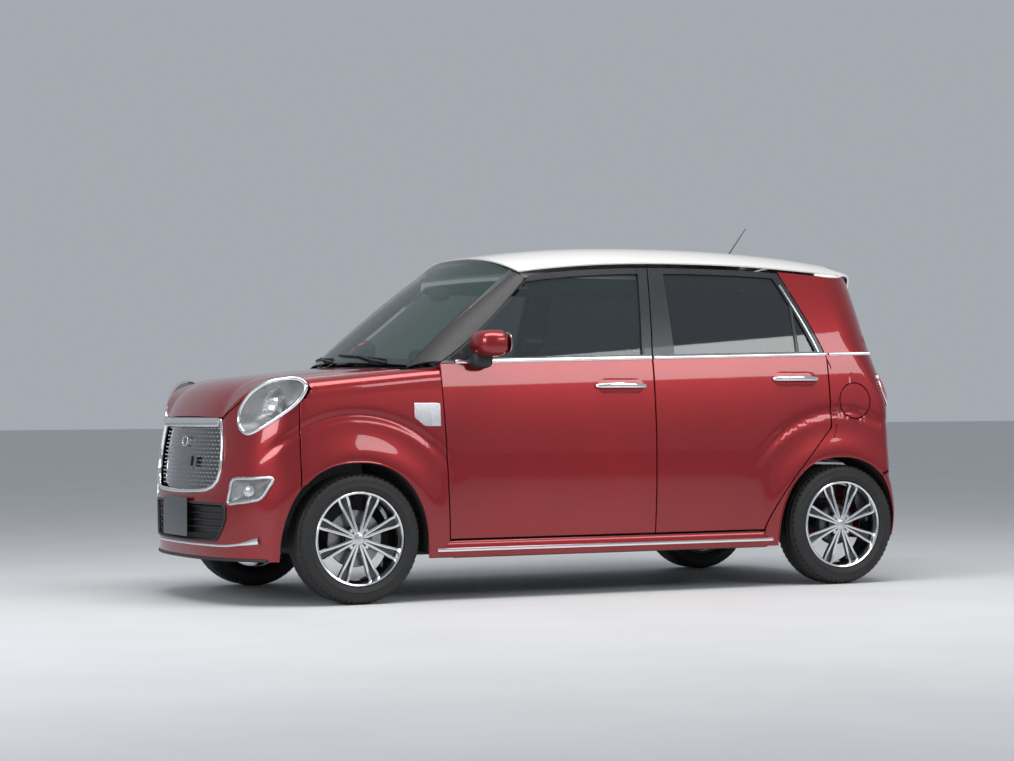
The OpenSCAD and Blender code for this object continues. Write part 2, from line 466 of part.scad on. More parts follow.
module dashboard() color([0.1, 0.1, 0.1]) difference() {
    union() {
        translate([wall_x, hood_w, 0]) rotate([90, 0, 0]) linear_extrude(2*hood_w)
            polygon([[-seat_gap, lz(700)], [-seat_gap, lz(985)], [-69, lz(1000)], [-279, lz(985)], [-329, lz(930)],
                [-309, lz(800)], [-199, lz(740)], [-159, lz(640)], [-119, lz(640)]]);
        steer_axis() translate([0, 0, -170]) cylinder(r = 34, h = 120, $fn = 40);
    }
    steer_axis() translate([0, 0, -180]) cylinder(r = spindle_r + run_gap, h = 140, $fn = 40);
}
// seat outline on a floor at height f, f2 under its back
function seat_side(x, f, f2) = [[x, f2], [x + 30, f2], [x + 30, f], [x + 420, f], [x + 470, 400], [x + 530, 480],
    [x + 500, 530], [x + 110, 490], [x - 60, 960], [x - 40, 1000], [x - 50, 1130], [x - 110, 1150],
    [x - 170, 1120], [x - 140, 980], [x - 170, 940], [x - 60, 440], [x - 10, f2]];
module seats() color([0.25, 0.22, 0.2]) {
    both() translate([lx(-170), floor_y - 20, 0]) rotate([90, 0, 0]) linear_extrude(470*wk)
        polygon(seat_side(0, floor_z + seat_gap, floor_z + seat_gap));
    translate([rear_wall, 495*wk, 0]) rotate([90, 0, 0]) linear_extrude(990*wk)
        polygon(seat_side(0, floor_z + seat_gap, boot_z + seat_gap));
}
module engine_block() color([0.4, 0.4, 0.42]) translate([axle_fx - 182, -320, 292 + seat_gap]) cube([440, 620, 500]);
module front_subframe() color([0.1, 0.1, 0.1]) {
    translate([axle_fx - 130, -380, 196]) cube([260, 760, 40]);
    both() {
        translate([axle_fx - 30, 340, 196]) cube([60, king_y - 340 + 16, 24]);
        translate([axle_fx, king_y, 210]) cylinder(r = 10, h = 42, $fn = 32);
        translate([wall_x + 24.3, 290, 232]) cube([nose_x - 130 - wall_x - 24.3, 60, 60]);
        translate([nose_x - 180, 290, 290]) cube([50, 60, 250]);
    }
    translate([nose_x - 180, -470, 520]) cube([50, 940, 60]);
    translate([nose_x - 140, -30, 530]) cube([113 - lean(560), 60, 30]);
}
module rear_axle_beam() color([0.1, 0.1, 0.1]) {
    translate([axle_rx, 0, tyre_r]) {
        rotate([90, 0, 0]) cylinder(r = 34, h = 2*(wheel_y - 110), center = true, $fn = 48);
        both() rotate([-90, 0, 0]) cylinder(r = spindle_r, h = wheel_y + 44, $fn = 48);
    }
    both() translate([axle_rx, 400*wk, tyre_r - 25]) cube([rear_wall - axle_rx - seat_gap, 60, 50]);
}
module exhaust() color([0.5, 0.5, 0.5]) {
    translate([tail_x + 97, -430*wk, boot_z - 24.3 - 120]) cube([190, 330, 120]);
    translate([tail_x + 47, -380*wk, boot_z - 84]) rotate([0, 90, 0]) cylinder(r = 20, h = 60, $fn = 24);
    translate([tail_x + 257, -150, sill_z + 42]) rotate([0, 90, 0]) cylinder(r = 17, h = 500, $fn = 24);
}
module antenna() color([0.1, 0.1, 0.1]) translate([tail_x + 550, 0, roof_h(tail_x + 550, 0)]) {
    translate([0, 0, 1.6]) cylinder(r1 = 26, r2 = 14, h = 22, $fn = 32);
    translate([0, 0, 14]) rotate([0, -37, 0]) cylinder(r = 4, h = 170, $fn = 24);
}
mirror_y = body_y(lx(490), lz(1062)) + 0.6;
module door_mirror() color([0.55, 0.02, 0.05]) {
    translate([lx(512), 0, 0]) {
        translate([0, half_w + 27.5, lz(1112)]) scale([0.8, 1, 0.62]) sphere(r = 100, $fn = 40);
        translate([-22, mirror_y, lz(1060)]) cube([60, half_w + 6 - mirror_y, 36]);
    }
}

// ---------- wheels and steering ----------
module rim() color([0.75, 0.76, 0.78]) difference() {
    union() {
        rotate_extrude($fn = 72) polygon([[rim_r - 12, -70], [rim_r + 6, -74], [rim_r + 6, -66], [rim_r, -60],
            [rim_r, 60], [rim_r + 6, 66], [rim_r + 6, 72], [rim_r - 10, 72], [rim_r - 12, 40], [rim_r - 12, -60]]);
        translate([0, 0, 34]) cylinder(r = rim_r - 8, h = 18, $fn = 72);
        translate([0, 0, -20]) cylinder(r = 62, h = 75, $fn = 48);
    }
    for (a = [0:45:315]) rotate(a) {
        translate([112, 0, 20]) cylinder(r = 18, h = 60, $fn = 24);
        translate([160, 0, 20]) cylinder(r = 20, h = 60, $fn = 24);
        translate([112, -17, 20]) cube([48, 34, 60]);
    }
    translate([0, 0, -30]) cylinder(r = spindle_r + run_gap, h = 80, $fn = 48);
}
module tyre() color([0.03, 0.03, 0.03]) rotate_extrude($fn = 96) polygon([
    [rim_r + 0.3, -59], [rim_r + 6.6, -65.7], [rim_r + 10, -74], [230, -tyre_w/2], [262, -tyre_w/2 + 4],
    [tyre_r - 4, -66], [tyre_r, -56], [tyre_r, 56], [tyre_r - 4, 66], [262, tyre_w/2 - 4], [230, tyre_w/2],
    [rim_r + 10, 74], [rim_r + 6.6, 65.7], [rim_r + 0.3, 59]]);
module at_wheel(x, s) translate([x, s*wheel_y, tyre_r]) rotate([-90*s, 0, 0]) children();
module knuckle(s) color([0.2, 0.2, 0.2]) difference() {
    union() {
        translate([axle_fx, s*(king_y - 30), tyre_r]) rotate([-90*s, 0, 0]) {
            cylinder(r = 46, h = 52, $fn = 48);
            cylinder(r = spindle_r, h = wheel_y - king_y + 72, $fn = 48);
        }
        translate([axle_fx - 25, s > 0 ? king_y - 18 : -king_y - 12, tyre_r]) cube([50, 30, 120]);
    }
    translate([axle_fx, s*king_y, 200]) cylinder(r = 10 + run_gap, h = 58, $fn = 32);
}
module steer_axis() translate([wall_x - 429.2, -320, lz(950)]) rotate([0, -66, 0]) children();
module steering_wheel() color([0.08, 0.08, 0.08]) steer_axis() {
    rotate_extrude($fn = 60) translate([172, 0]) circle(r = 14, $fn = 24);
    translate([0, 0, -20]) cylinder(r = 50, h = 30, $fn = 40);
    translate([0, 0, -170]) cylinder(r = spindle_r, h = 160, $fn = 40);
    for (a = [0, 90, 180]) rotate(a) translate([0, -12, -8]) cube([165, 24, 14]);
}

floor_pan();
side_frames();
roof_panel();
windshield();
cowl_panel();
both() front_fender();  // front_fenders
both() rear_quarter();  // rear_quarters
front_bumper();
front_grille();
front_lamps();
tail_lamps();
rear_bumper();
wheel_arch_liners();
dashboard();
seats();
engine_block();
front_subframe();
rear_axle_beam();
exhaust();
antenna();
bonnet();
fuel_lid();
front_door();  // front_door_left
mirror([0, 1, 0]) front_door();  // front_door_right
rear_door();  // rear_door_left
mirror([0, 1, 0]) rear_door();  // rear_door_right
front_door_glass();  // front_door_glass_left
mirror([0, 1, 0]) front_door_glass();  // front_door_glass_right
rear_door_glass();  // rear_door_glass_left
mirror([0, 1, 0]) rear_door_glass();  // rear_door_glass_right
door_mirror();  // door_mirror_left
mirror([0, 1, 0]) door_mirror();  // door_mirror_right
tailgate();
tailgate_glass();
steering_wheel();
knuckle(1);  // knuckle_left
knuckle(-1);  // knuckle_right
at_wheel(axle_fx, 1) rim();  // front_rim_left
at_wheel(axle_fx, -1) rim();  // front_rim_right
at_wheel(axle_rx, 1) rim();  // rear_rim_left
at_wheel(axle_rx, -1) rim();  // rear_rim_right
at_wheel(axle_fx, 1) tyre();  // front_tyre_left
at_wheel(axle_fx, -1) tyre();  // front_tyre_right
at_wheel(axle_rx, 1) tyre();  // rear_tyre_left
at_wheel(axle_rx, -1) tyre();  // rear_tyre_right
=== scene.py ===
import bpy, bmesh, math
import numpy as np
from mathutils import Vector, Matrix


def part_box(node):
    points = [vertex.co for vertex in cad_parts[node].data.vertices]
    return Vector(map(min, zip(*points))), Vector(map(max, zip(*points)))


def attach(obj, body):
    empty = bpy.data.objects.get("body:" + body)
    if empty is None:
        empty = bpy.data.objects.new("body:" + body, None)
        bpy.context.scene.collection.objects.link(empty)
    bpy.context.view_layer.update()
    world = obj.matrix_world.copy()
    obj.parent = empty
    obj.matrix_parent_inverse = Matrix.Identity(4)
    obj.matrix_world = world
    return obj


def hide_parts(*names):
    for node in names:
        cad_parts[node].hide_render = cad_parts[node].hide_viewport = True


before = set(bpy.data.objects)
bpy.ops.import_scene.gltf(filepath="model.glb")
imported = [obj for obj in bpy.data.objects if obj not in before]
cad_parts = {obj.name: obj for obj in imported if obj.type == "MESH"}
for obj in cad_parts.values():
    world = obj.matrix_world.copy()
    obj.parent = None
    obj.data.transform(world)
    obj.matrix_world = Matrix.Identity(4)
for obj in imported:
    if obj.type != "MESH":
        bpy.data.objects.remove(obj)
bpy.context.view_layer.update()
pi = math.pi

# sizes in millimetres, read from the frame where it has them
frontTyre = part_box("front_tyre_left")
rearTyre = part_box("rear_tyre_left")
car = {
    "noseX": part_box("front_bumper")[1].x*1000, "tailX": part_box("rear_bumper")[0].x*1000,
    "axleF": (frontTyre[0].x + frontTyre[1].x)*500, "axleR": (rearTyre[0].x + rearTyre[1].x)*500,
    "tyreR": frontTyre[1].z*500, "wheelY": (frontTyre[0].y + frontTyre[1].y)*500,
    "halfW": 737.5, "archRF": 340, "archRR": 330, "sill": 185, "belt": 1058, "roof": 1590,
    "noseR": 352, "gap": 5, "hollow": 537, "hollowDepth": 7}
noseX, tailX, halfW = car["noseX"], car["tailX"], car["halfW"]
archFX, archRX, archZ = car["axleF"] + 12, car["axleR"] + 16, car["tyreR"] - 9
hoodBack, hoodW = noseX - 812, halfW - 147.5


# small maths
def mix(a, b, t): return a + (b - a)*t
def sat(t): return max(0.0, min(1.0, t))
def steps(a, b, n): return [mix(a, b, i/n) for i in range(n + 1)]
def oval(t, n): return max(0, 1 - sat(t)**n)**(1/n)
def sgn(v): return -1 if v < 0 else 1
def unit(v):
    v = np.array(v, float)
    return v/(np.linalg.norm(v) + 1e-12)


def table(v, pairs):        # smooth curve through given pairs, flat at its ends
    if v <= pairs[0][0]: return pairs[0][1]
    if v >= pairs[-1][0]: return pairs[-1][1]
    n = len(pairs)
    d = [(pairs[i+1][1] - pairs[i][1])/(pairs[i+1][0] - pairs[i][0]) for i in range(n - 1)]
    m = [d[0]] + [0 if d[i-1]*d[i] <= 0 else 2*d[i-1]*d[i]/(d[i-1] + d[i]) for i in range(1, n - 1)] + [d[-1]]
    k = max(i for i in range(n - 1) if pairs[i][0] <= v)
    h = pairs[k+1][0] - pairs[k][0]
    t = (v - pairs[k][0])/h
    return ((2*t**3 - 3*t*t + 1)*pairs[k][1] + (t**3 - 2*t*t + t)*h*m[k]
            + (3*t*t - 2*t**3)*pairs[k+1][1] + (t**3 - t*t)*h*m[k+1])


# body surface
def belt(x): return car["belt"] - 0.0215*x
def bump(x, z, cx, r): return 15*math.exp(-((math.hypot(x - cx, z - archZ) - r)/75)**2)
def hollow(x, z):
    d = 0
    for cx in (archFX, archRX):
        r = math.hypot(x - cx, z - archZ)
        d += car["hollowDepth"]*math.exp(-((r - car["hollow"])/(24
                if r > car["hollow"] else 13))**2)*sat((z - 520)/170)
    return d
def flare(x, z): return bump(x, z, archFX, car["archRF"] + 20) + bump(x, z, archRX, car["archRR"] + 20) - hollow(x, z)
def tuck(z): return 30*(max(0, 600 - z)/420)**2 + 36*(max(0, z - 620)/430)**2
def sideY(x, z): return (halfW - 16 - tuck(z))*oval((x - noseX + car["noseR"])/car["noseR"], 2.4) + flare(x, z)
def bodyY(x, z):
    if z <= belt(x): return sideY(x, z)
    h = z - belt(x)
    return sideY(x, belt(x)) - 0.235*h - 0.00016*h*h
def lean(z): return 0 if z < 450 else 45*((z - 450)/350)**1.6
def noseY(a, z, d=0): return sgn(a)*(halfW - 16 - tuck(z) - d)*math.sin(abs(a))**(1/1.2)
def noseAt(a, z, d=0):
    c = max(0, math.cos(a))
    x = noseX - car["noseR"] + (car["noseR"] - d)*c**(1/1.2) - lean(z)*c**0.5
    return [x, noseY(a, z, d) + sgn(a)*flare(x, z)*math.sin(abs(a))**4, z]
def noseA(y, z): return sgn(y)*math.asin(min(1, abs(y)/(halfW - 16 - tuck(z)))**1.2)
def noseEnd(x): return math.acos(sat((x - noseX + car["noseR"])/car["noseR"])**1.2)
def tailC(z): return tailX + 20*(max(0, 420 - z)/230)**2 + 100*(max(0, z - 880)/600)**1.5
def tailR(z): return mix(150, 290, sat((z - 850)/300))
def tailAt(a, z, d=0):
    w = bodyY(tailC(z) + tailR(z), z)
    return [tailC(z) + tailR(z)*(1 - max(0, math.cos(a))**(1/1.3)) + d*math.cos(a),
            sgn(a)*(w*math.sin(abs(a))**(1/1.3) - d*math.sin(abs(a))), z]
def hoodE(x, y): return noseX - car["noseR"] + car["noseR"]*oval(abs(y)/halfW, 2.4) - x + 0.35*max(0, abs(y) - 380)
def hoodZ(x, y): return 1020 - 0.088*(623 - hoodE(x, y)) - 340*math.exp(-hoodE(x, y)/60) - 22*(y/600)**2
def hoodFront(y): return noseX - car["noseR"] + car["noseR"]*oval(abs(y)/halfW, 2.4) - 46 - 40*sat((abs(y) - 470)/110)
def hoodSide(x): return hoodW + 26*sat((1500 - x)/600)
def roofH(x, y):
    return car["roof"] - 78*(abs(x + 560)/1000)**2.3*(1 if x > -560 else 0.8) - 95*(abs(y)/570)**2.6
def archX(z, r):
    return r*oval((z - car["sill"] - 5)/(archZ + r - car["sill"] - 5), 2.35)
def archPt(cx, r, a):       # a is 0 at the rear foot of the arch and pi at the front one
    s = car["sill"] + 5
    return cx - r*sgn(math.cos(a))*abs(math.cos(a))**0.851, s + (archZ + r - s)*math.sin(a)**0.851
def doorF(z):
    return mix(688, 729, (z - 267)/791) if z <= 1058 else mix(720, 235, ((z - 1058)/400)**0.95)
def split(z): return -335 - (0 if z <= 1058 else 44*(z - 1058)/400)
def doorR(z):
    if z < 722: return -914 - 366*sat((z - 267)/455)**1.3
    return -1280 if z <= 1058 else mix(-1268, -1085, min(1.05, ((z - 1058)/390))**1.15)
def edgeZ(x): return roofH(max(-1330, x), 556)
def rowZ(z, x):
    if z <= 1058: return z - 0.0215*x*sat((z - 267)/791)
    return mix(belt(x), edgeZ(x) - 17, (z - 1058)/402)
def screenPt(u, y0):
    y = y0*mix(1, 0.835, u)
    x1 = 352 - 70*(y/540)**2
    x = mix(950 - 115*(y0/600)**2, 352 - 70*(y0/540)**2, u)
    z0, z1 = hoodZ(hoodBack + 60, 0) + 14, roofH(x1 - 8, y)
    return [x + 22*u*(1 - u), y, mix(z0 - 20*(y/600)**2, z1, u) + 60*u*(1 - u)]


# making meshes
def addMesh(name, verts, faces, mat, sharp=32, merge=0.02):
    me = bpy.data.meshes.new(name)
    me.from_pydata([tuple(c*0.001 for c in v) for v in verts], [], faces)
    me.materials.append(mat)
    return tidyMesh(name, me, sharp, merge)


def tidyMesh(name, me, sharp=32, merge=0.02):
    bm = bmesh.new()
    bm.from_mesh(me)
    if merge:
        bmesh.ops.remove_doubles(bm, verts=bm.verts, dist=merge*0.001)
        bmesh.ops.dissolve_degenerate(bm, edges=bm.edges, dist=1e-6)
    if all(len(e.link_faces) == 2 for e in bm.edges) and bm.calc_volume(signed=True) < 0:     # a shell turned inside out
        bmesh.ops.reverse_faces(bm, faces=bm.faces)
    for f in bm.faces:
        f.smooth = True
    for e in bm.edges:
        e.smooth = len(e.link_faces) != 2 or e.calc_face_angle(0) < math.radians(sharp)
    bm.to_mesh(me)
    bm.free()
    ob = bpy.data.objects.new(name, me)
    bpy.context.scene.collection.objects.link(ob)
    return ob


def settle(ob, body, slotName, *nodes):     # every finished piece goes through here
    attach(ob, body)
    if nodes:
        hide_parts(*nodes)
    return ob


def gridNormals(p):
    du = np.gradient(p, axis=0)
    dv = np.gradient(p, axis=1)
    n = np.cross(du, dv)
    return n/(np.linalg.norm(n, axis=2, keepdims=True) + 1e-9)


def rimmed(p, r):       # adds a row just inside every border
    def rows(q):
        out = [q[0]]
        for a, b in ((q[0], q[1]), (q[-1], q[-2])):
            d = b - a
            ln = np.linalg.norm(d, axis=1, keepdims=True) + 1e-9
            out.append(a + d*np.minimum(0.45, r/ln))
        return np.concatenate([[out[0]], [out[1]], q[1:-1], [out[2]], [q[-1]]])
    p = rows(p)
    return np.swapaxes(rows(np.swapaxes(p, 0, 1)), 0, 1)


# a panel from its outer grid (rows x columns point outwards), with rounded borders and a wall behind them
def shellData(p, thick, edge=2.5, holes=None, mirror=False):
    p = np.array(p, float)
    if edge:
        p = rimmed(p, edge)
    n = gridNormals(p)
    q = p - n*thick
    if edge:
        for sl in ((0, slice(None)), (-1, slice(None)), (slice(None), 0), (slice(None), -1)):
            p[sl] = p[sl] - n[sl]*edge*0.8
    if mirror:
        p = p*np.array([1, -1, 1]); q = q*np.array([1, -1, 1])
    h, w = p.shape[:2]
    keep = np.ones((h - 1, w - 1), bool)
    if holes:
        mid = (p[:-1, :-1] + p[1:, 1:])/2
        for i in range(h - 1):
            for j in range(w - 1):
                m = mid[i, j]
                if any(t((m[0], abs(m[1]), m[2])) for t in holes):
                    keep[i, j] = False
    verts = np.concatenate([p.reshape(-1, 3), q.reshape(-1, 3)])
    k, faces = h*w, []
    def on(i, j): return 0 <= i < h - 1 and 0 <= j < w - 1 and keep[i, j]
    for i in range(h - 1):
        for j in range(w - 1):
            if not keep[i, j]: continue
            a, b, c, d = i*w + j, (i+1)*w + j, (i+1)*w + j + 1, i*w + j + 1
            f = [(a, b, c, d), (d+k, c+k, b+k, a+k)]
            if not on(i, j-1): f.append((b, a, a+k, b+k))
            if not on(i, j+1): f.append((d, c, c+k, d+k))
            if not on(i-1, j): f.append((a, d, d+k, a+k))
            if not on(i+1, j): f.append((c, b, b+k, c+k))
            faces += [tuple(reversed(t)) for t in f] if mirror else f
    return verts, faces


def dropLoose(verts, faces):
    used = sorted({i for f in faces for i in f})
    at = {v: i for i, v in enumerate(used)}
    return [verts[v] for v in used], [tuple(at[v] for v in f) for f in faces]


def panel(name, p, mat, body, slotName, thick=3, edge=2.5, holes=None, mirror=False, nodes=(), sharp=32):
    v, f = dropLoose(*shellData(p, thick, edge, holes, mirror))
    return settle(addMesh(name, v, f, mat, sharp=sharp), body, slotName, *nodes)


def pairPanel(name, p, mat, body, slotName, nodes=(), **more):      # left and right, body and nodes may hold {side}
    out = []
    for side, flip in (("left", False), ("right", True)):
        ns = [n.format(side=side) for n in nodes if "{side}" in n or not flip]
        out.append(panel(f"{name}_{side}", p, mat, body.format(side=side), slotName, mirror=flip, nodes=ns, **more))
    return out


# a closed or open tube of any outline along a path; the outline is in (out, across) millimetres
def sweep(path, outs, outline, closed=False, capped=True, scale=None):
    pts = [np.array(p, float) for p in path]
    n, m = len(pts), len(outline)
    verts, faces = [], []
    for i, p in enumerate(pts):
        a = pts[(i - 1) % n] if closed or i else p
        b = pts[(i + 1) % n] if closed or i < n - 1 else p
        t = unit(b - a)
        o = np.array(outs[i] if isinstance(outs, (list, np.ndarray)) and np.ndim(outs) > 1 else outs, float)
        o = unit(o - t*np.dot(o, t))
        c = np.cross(t, o)
        s = scale[i] if scale else 1
        for u, v in outline:
            verts.append(p + (o*u + c*v)*s)
    for i in range(n if closed else n - 1):
        for j in range(m):
            a, b = i*m + j, i*m + (j + 1) % m
            c, d = ((i + 1) % n)*m + (j + 1) % m, ((i + 1) % n)*m + j
            faces.append((a, b, c, d))
    if not closed and capped:
        faces.append(tuple(reversed(range(m))))
        faces.append(tuple((n - 1)*m + j for j in range(m)))
    return verts, faces


def joinData(*parts):
    verts, faces, mats = [], [], []
    for k, (v, f) in enumerate(parts):
        o = len(verts)
        verts += [tuple(x) for x in v]
        faces += [tuple(i + o for i in t) for t in f]
        mats += [k]*len(f)
    return verts, faces, mats


def mirrorData(v, f): return [(x, -y, z) for x, y, z in v], [tuple(reversed(t)) for t in f]
def roundOutline(w, h, n=12, k=2.6):       # flattened oval, w out and h across
    return [(w/2*sgn(math.cos(a))*abs(math.cos(a))**(2/k), h/2*sgn(math.sin(a))*abs(math.sin(a))**(2/k))
            for a in (2*pi*i/n for i in range(n))]


def trim(name, path, outs, outline, mat, body, slotName, closed=False, both=False, nodes=(), scale=None, sharp=40):
    data = sweep(path, outs, outline, closed, scale=scale)
    made = [settle(addMesh(name + ("_left" if both else ""), *data, mat, sharp=sharp), body.format(side="left"),
                   slotName, *[n.format(side="left") for n in nodes])]
    if both:
        made.append(settle(addMesh(name + "_right", *mirrorData(*data), mat, sharp=sharp),
                           body.format(side="right"), slotName,
                           *[n.format(side="right") for n in nodes if "{side}" in n]))
    return made


def lathe(profile, n=96):      # profile of (radius, out) turned round the Y axis at the origin
    m, verts, faces = len(profile), [], []
    for i in range(n):
        a = 2*pi*i/n
        verts += [(r*math.cos(a), y, r*math.sin(a)) for r, y in profile]
    for i in range(n):
        for j in range(m - 1):
            a, b = i*m + j, ((i + 1) % n)*m + j
            faces.append((a, a + 1, b + 1, b))
    return verts, faces


def inside(p, poly):
    x, y, hit = p[0], p[1], False
    for (x1, y1), (x2, y2) in zip(poly, poly[1:] + poly[:1]):
        if (y1 > y) != (y2 > y) and x < (x2 - x1)*(y - y1)/(y2 - y1) + x1:
            hit = not hit
    return hit


# finishes
class Wire:         # a socket that takes part in sums
    def __init__(self, tree, socket): self.tree, self.socket = tree, socket
    def sum(self, kind, a, b):
        n = self.tree.nodes.new("ShaderNodeMath")
        n.operation = kind
        for s, v in ((n.inputs[0], a), (n.inputs[1], b)):
            if isinstance(v, Wire): self.tree.links.new(v.socket, s)
            else: s.default_value = v
        return Wire(self.tree, n.outputs[0])
    def __add__(self, o): return self.sum("ADD", self, o)
    def __radd__(self, o): return self.sum("ADD", o, self)
    def __sub__(self, o): return self.sum("SUBTRACT", self, o)
    def __rsub__(self, o): return self.sum("SUBTRACT", o, self)
    def __mul__(self, o): return self.sum("MULTIPLY", self, o)
    def __rmul__(self, o): return self.sum("MULTIPLY", o, self)
    def __truediv__(self, o): return self.sum("DIVIDE", self, o)
    def __rtruediv__(self, o): return self.sum("DIVIDE", o, self)
    def __pow__(self, o): return self.sum("POWER", self, o)
    def __lt__(self, o): return self.sum("LESS_THAN", self, o)
    def __gt__(self, o): return self.sum("GREATER_THAN", self, o)


class Finish:       # one material and the ways to add to it
    def __init__(self, name, color, rough, metal=0.0, coat=0.0, **more):
        self.mat = bpy.data.materials.new(name)
        self.mat.use_nodes = True
        self.tree = self.mat.node_tree
        self.shader = self.tree.nodes["Principled BSDF"]
        self.put("Base Color", (*color, 1)); self.put("Roughness", rough); self.put("Metallic", metal)
        self.put("Coat Weight", coat); self.put("Coat Roughness", 0.03)
        for k, v in more.items():
            self.put(k.replace("_", " "), v)
        self.mat.diffuse_color = (*color, 1)
    def put(self, socket, v):
        s = self.shader.inputs[socket]
        if isinstance(v, Wire): self.tree.links.new(v.socket, s)
        else: s.default_value = v
        return self
    def node(self, kind, settings=None, values=None, out=0):
        n = self.tree.nodes.new(kind)
        for k, v in (settings or {}).items():
            if k == "stops":
                while len(n.color_ramp.elements) < len(v): n.color_ramp.elements.new(0.5)
                for e, (at, c) in zip(n.color_ramp.elements, v): e.position, e.color = at, c
            else: setattr(n, k, v)
        for k, v in (values or {}).items():
            if isinstance(v, Wire): self.tree.links.new(v.socket, n.inputs[k])
            else: n.inputs[k].default_value = v
        return Wire(self.tree, n.outputs[out])
    def place(self): return self.node("ShaderNodeTexCoord", out="Object")
    def noise(self, scale, detail=3, at=None, out="Fac", **v):
        return self.node("ShaderNodeTexNoise", {}, {"Scale": scale, "Detail": detail, "Vector": at or self.place(),
                **v}, out)
    def blend(self, a, b, fac):
        return self.node("ShaderNodeMix", {"data_type": "RGBA"}, {0: fac, 6: (*a, 1) if isinstance(a, tuple) else a,
                         7: (*b, 1) if isinstance(b, tuple) else b}, 2)
    def bumpBy(self, height, strength=0.3, distance=0.001):
        return self.put("Normal", self.node("ShaderNodeBump", {},
                {"Strength": strength, "Distance": distance, "Height": height}))


def paintFinish(name, deep, bright, rough, metal, flakes):
    f = Finish(name, bright, rough, metal, 1.0)
    flake = f.node("ShaderNodeTexVoronoi", {}, {"Scale": 1400.0, "Vector": f.place()}, "Color")
    grey = f.node("ShaderNodeSeparateColor", {}, {0: flake}, 0)
    f.put("Base Color", f.blend(deep, bright, grey*0.45 + f.noise(2.2, 2)*0.55))
    f.put("Roughness", rough + grey*flakes)
    dust = f.noise(9.0, 5)
    return f.put("Coat Weight", 1.0 - (dust > 0.66)*0.06)


bodyPaint = paintFinish("bodyPaint", (0.17, 0.001, 0.003), (0.36, 0.003, 0.008), 0.26, 0.62, 0.14).mat
roofPaint = paintFinish("roofPaint", (0.74, 0.73, 0.69), (0.86, 0.85, 0.81), 0.30, 0.10, 0.08).mat


def grainFinish(name, dark, light, rough, scale, strength, **more):
    f = Finish(name, light, rough, **more)
    g = f.noise(scale, 4)
    f.put("Base Color", f.blend(dark, light, g))
    f.put("Roughness", f.noise(scale*0.06, 3)*0.16 + (rough - 0.08))
    return f.bumpBy(g, strength, 0.0006).mat


blackTrim = grainFinish("blackTrim", (0.010, 0.010, 0.011), (0.022, 0.022, 0.024), 0.52, 900.0, 0.35)
glossBlack = grainFinish("glossBlack", (0.004, 0.004, 0.005), (0.008, 0.008, 0.010), 0.12, 40.0, 0.02, coat=1.0)
pillarBlack = grainFinish("pillarBlack", (0.008, 0.009, 0.011), (0.014, 0.015, 0.018), 0.30, 300.0, 0.06, coat=0.4)
cabinPlastic = grainFinish("cabinPlastic", (0.035, 0.033, 0.031), (0.060, 0.056, 0.052), 0.62, 700.0, 0.5)
chassisBlack = grainFinish("chassisBlack", (0.012, 0.012, 0.013), (0.035, 0.033, 0.032), 0.66, 60.0, 0.4)
linerFelt = grainFinish("linerFelt", (0.006, 0.006, 0.006), (0.018, 0.018, 0.018), 0.92, 420.0, 0.8)


def metalFinish(name, dark, light, rough, scale=30.0):
    f = Finish(name, light, rough, 1.0)
    g = f.noise(scale, 5)
    f.put("Base Color", f.blend(dark, light, g))
    f.put("Roughness", rough + g*0.07)
    return f.mat


chrome = metalFinish("chrome", (0.78, 0.79, 0.80), (0.92, 0.93, 0.94), 0.05)
satinSilver = metalFinish("satinSilver", (0.55, 0.56, 0.58), (0.70, 0.71, 0.73), 0.24)
castMetal = metalFinish("castMetal", (0.10, 0.10, 0.11), (0.24, 0.24, 0.25), 0.52, 90.0)
exhaustSteel = metalFinish("exhaustSteel", (0.18, 0.16, 0.14), (0.42, 0.41, 0.40), 0.42, 22.0)
brakeSteel = metalFinish("brakeSteel", (0.22, 0.21, 0.20), (0.40, 0.40, 0.41), 0.34, 120.0)


def machinedFinish():       # fine turned lines
    f = Finish("machinedAlloy", (0.80, 0.81, 0.83), 0.17, 1.0)
    g = f.noise(1100.0, 2)
    f.put("Base Color", f.blend((0.72, 0.73, 0.75), (0.86, 0.87, 0.89), g))
    f.put("Roughness", g*0.14 + 0.12)
    return f.bumpBy(g, 0.08, 0.0002).mat


machinedAlloy = machinedFinish()


def glassFinish(name, color, alpha, rough=0.0):
    f = Finish(name, color, 0.03, 0.0, 1.0)
    smear = f.noise(7.0, 4)
    f.put("Alpha", alpha + smear*0.05)
    f.put("Roughness", smear*0.04 + rough)
    return f.mat


screenGlass = glassFinish("screenGlass", (0.030, 0.060, 0.052), 0.40)
doorGlassTint = glassFinish("doorGlassTint", (0.020, 0.030, 0.032), 0.52)
rearGlassTint = glassFinish("rearGlassTint", (0.010, 0.013, 0.015), 0.80)
lampLens = glassFinish("lampLens", (0.55, 0.58, 0.60), 0.16)
redLens = Finish("redLens", (0.40, 0.004, 0.006), 0.08, 0.0, 1.0)
redLens.put("Base Color", redLens.blend((0.22, 0.002, 0.004), (0.52, 0.010, 0.012),
            redLens.node("ShaderNodeTexVoronoi", {}, {"Scale": 260.0, "Vector": redLens.place()}, "Distance")))
redLens = redLens.mat


def rubberFinish():
    f = Finish("tyreRubber", (0.010, 0.010, 0.010), 0.72)
    g = f.noise(500.0, 4)
    f.put("Base Color", f.blend((0.006, 0.006, 0.006), (0.016, 0.016, 0.016), f.noise(16.0, 4)))
    f.put("Roughness", f.noise(30.0, 3)*0.2 + 0.54)
    return f.bumpBy(g, 0.25, 0.0004).mat


tyreRubber = rubberFinish()


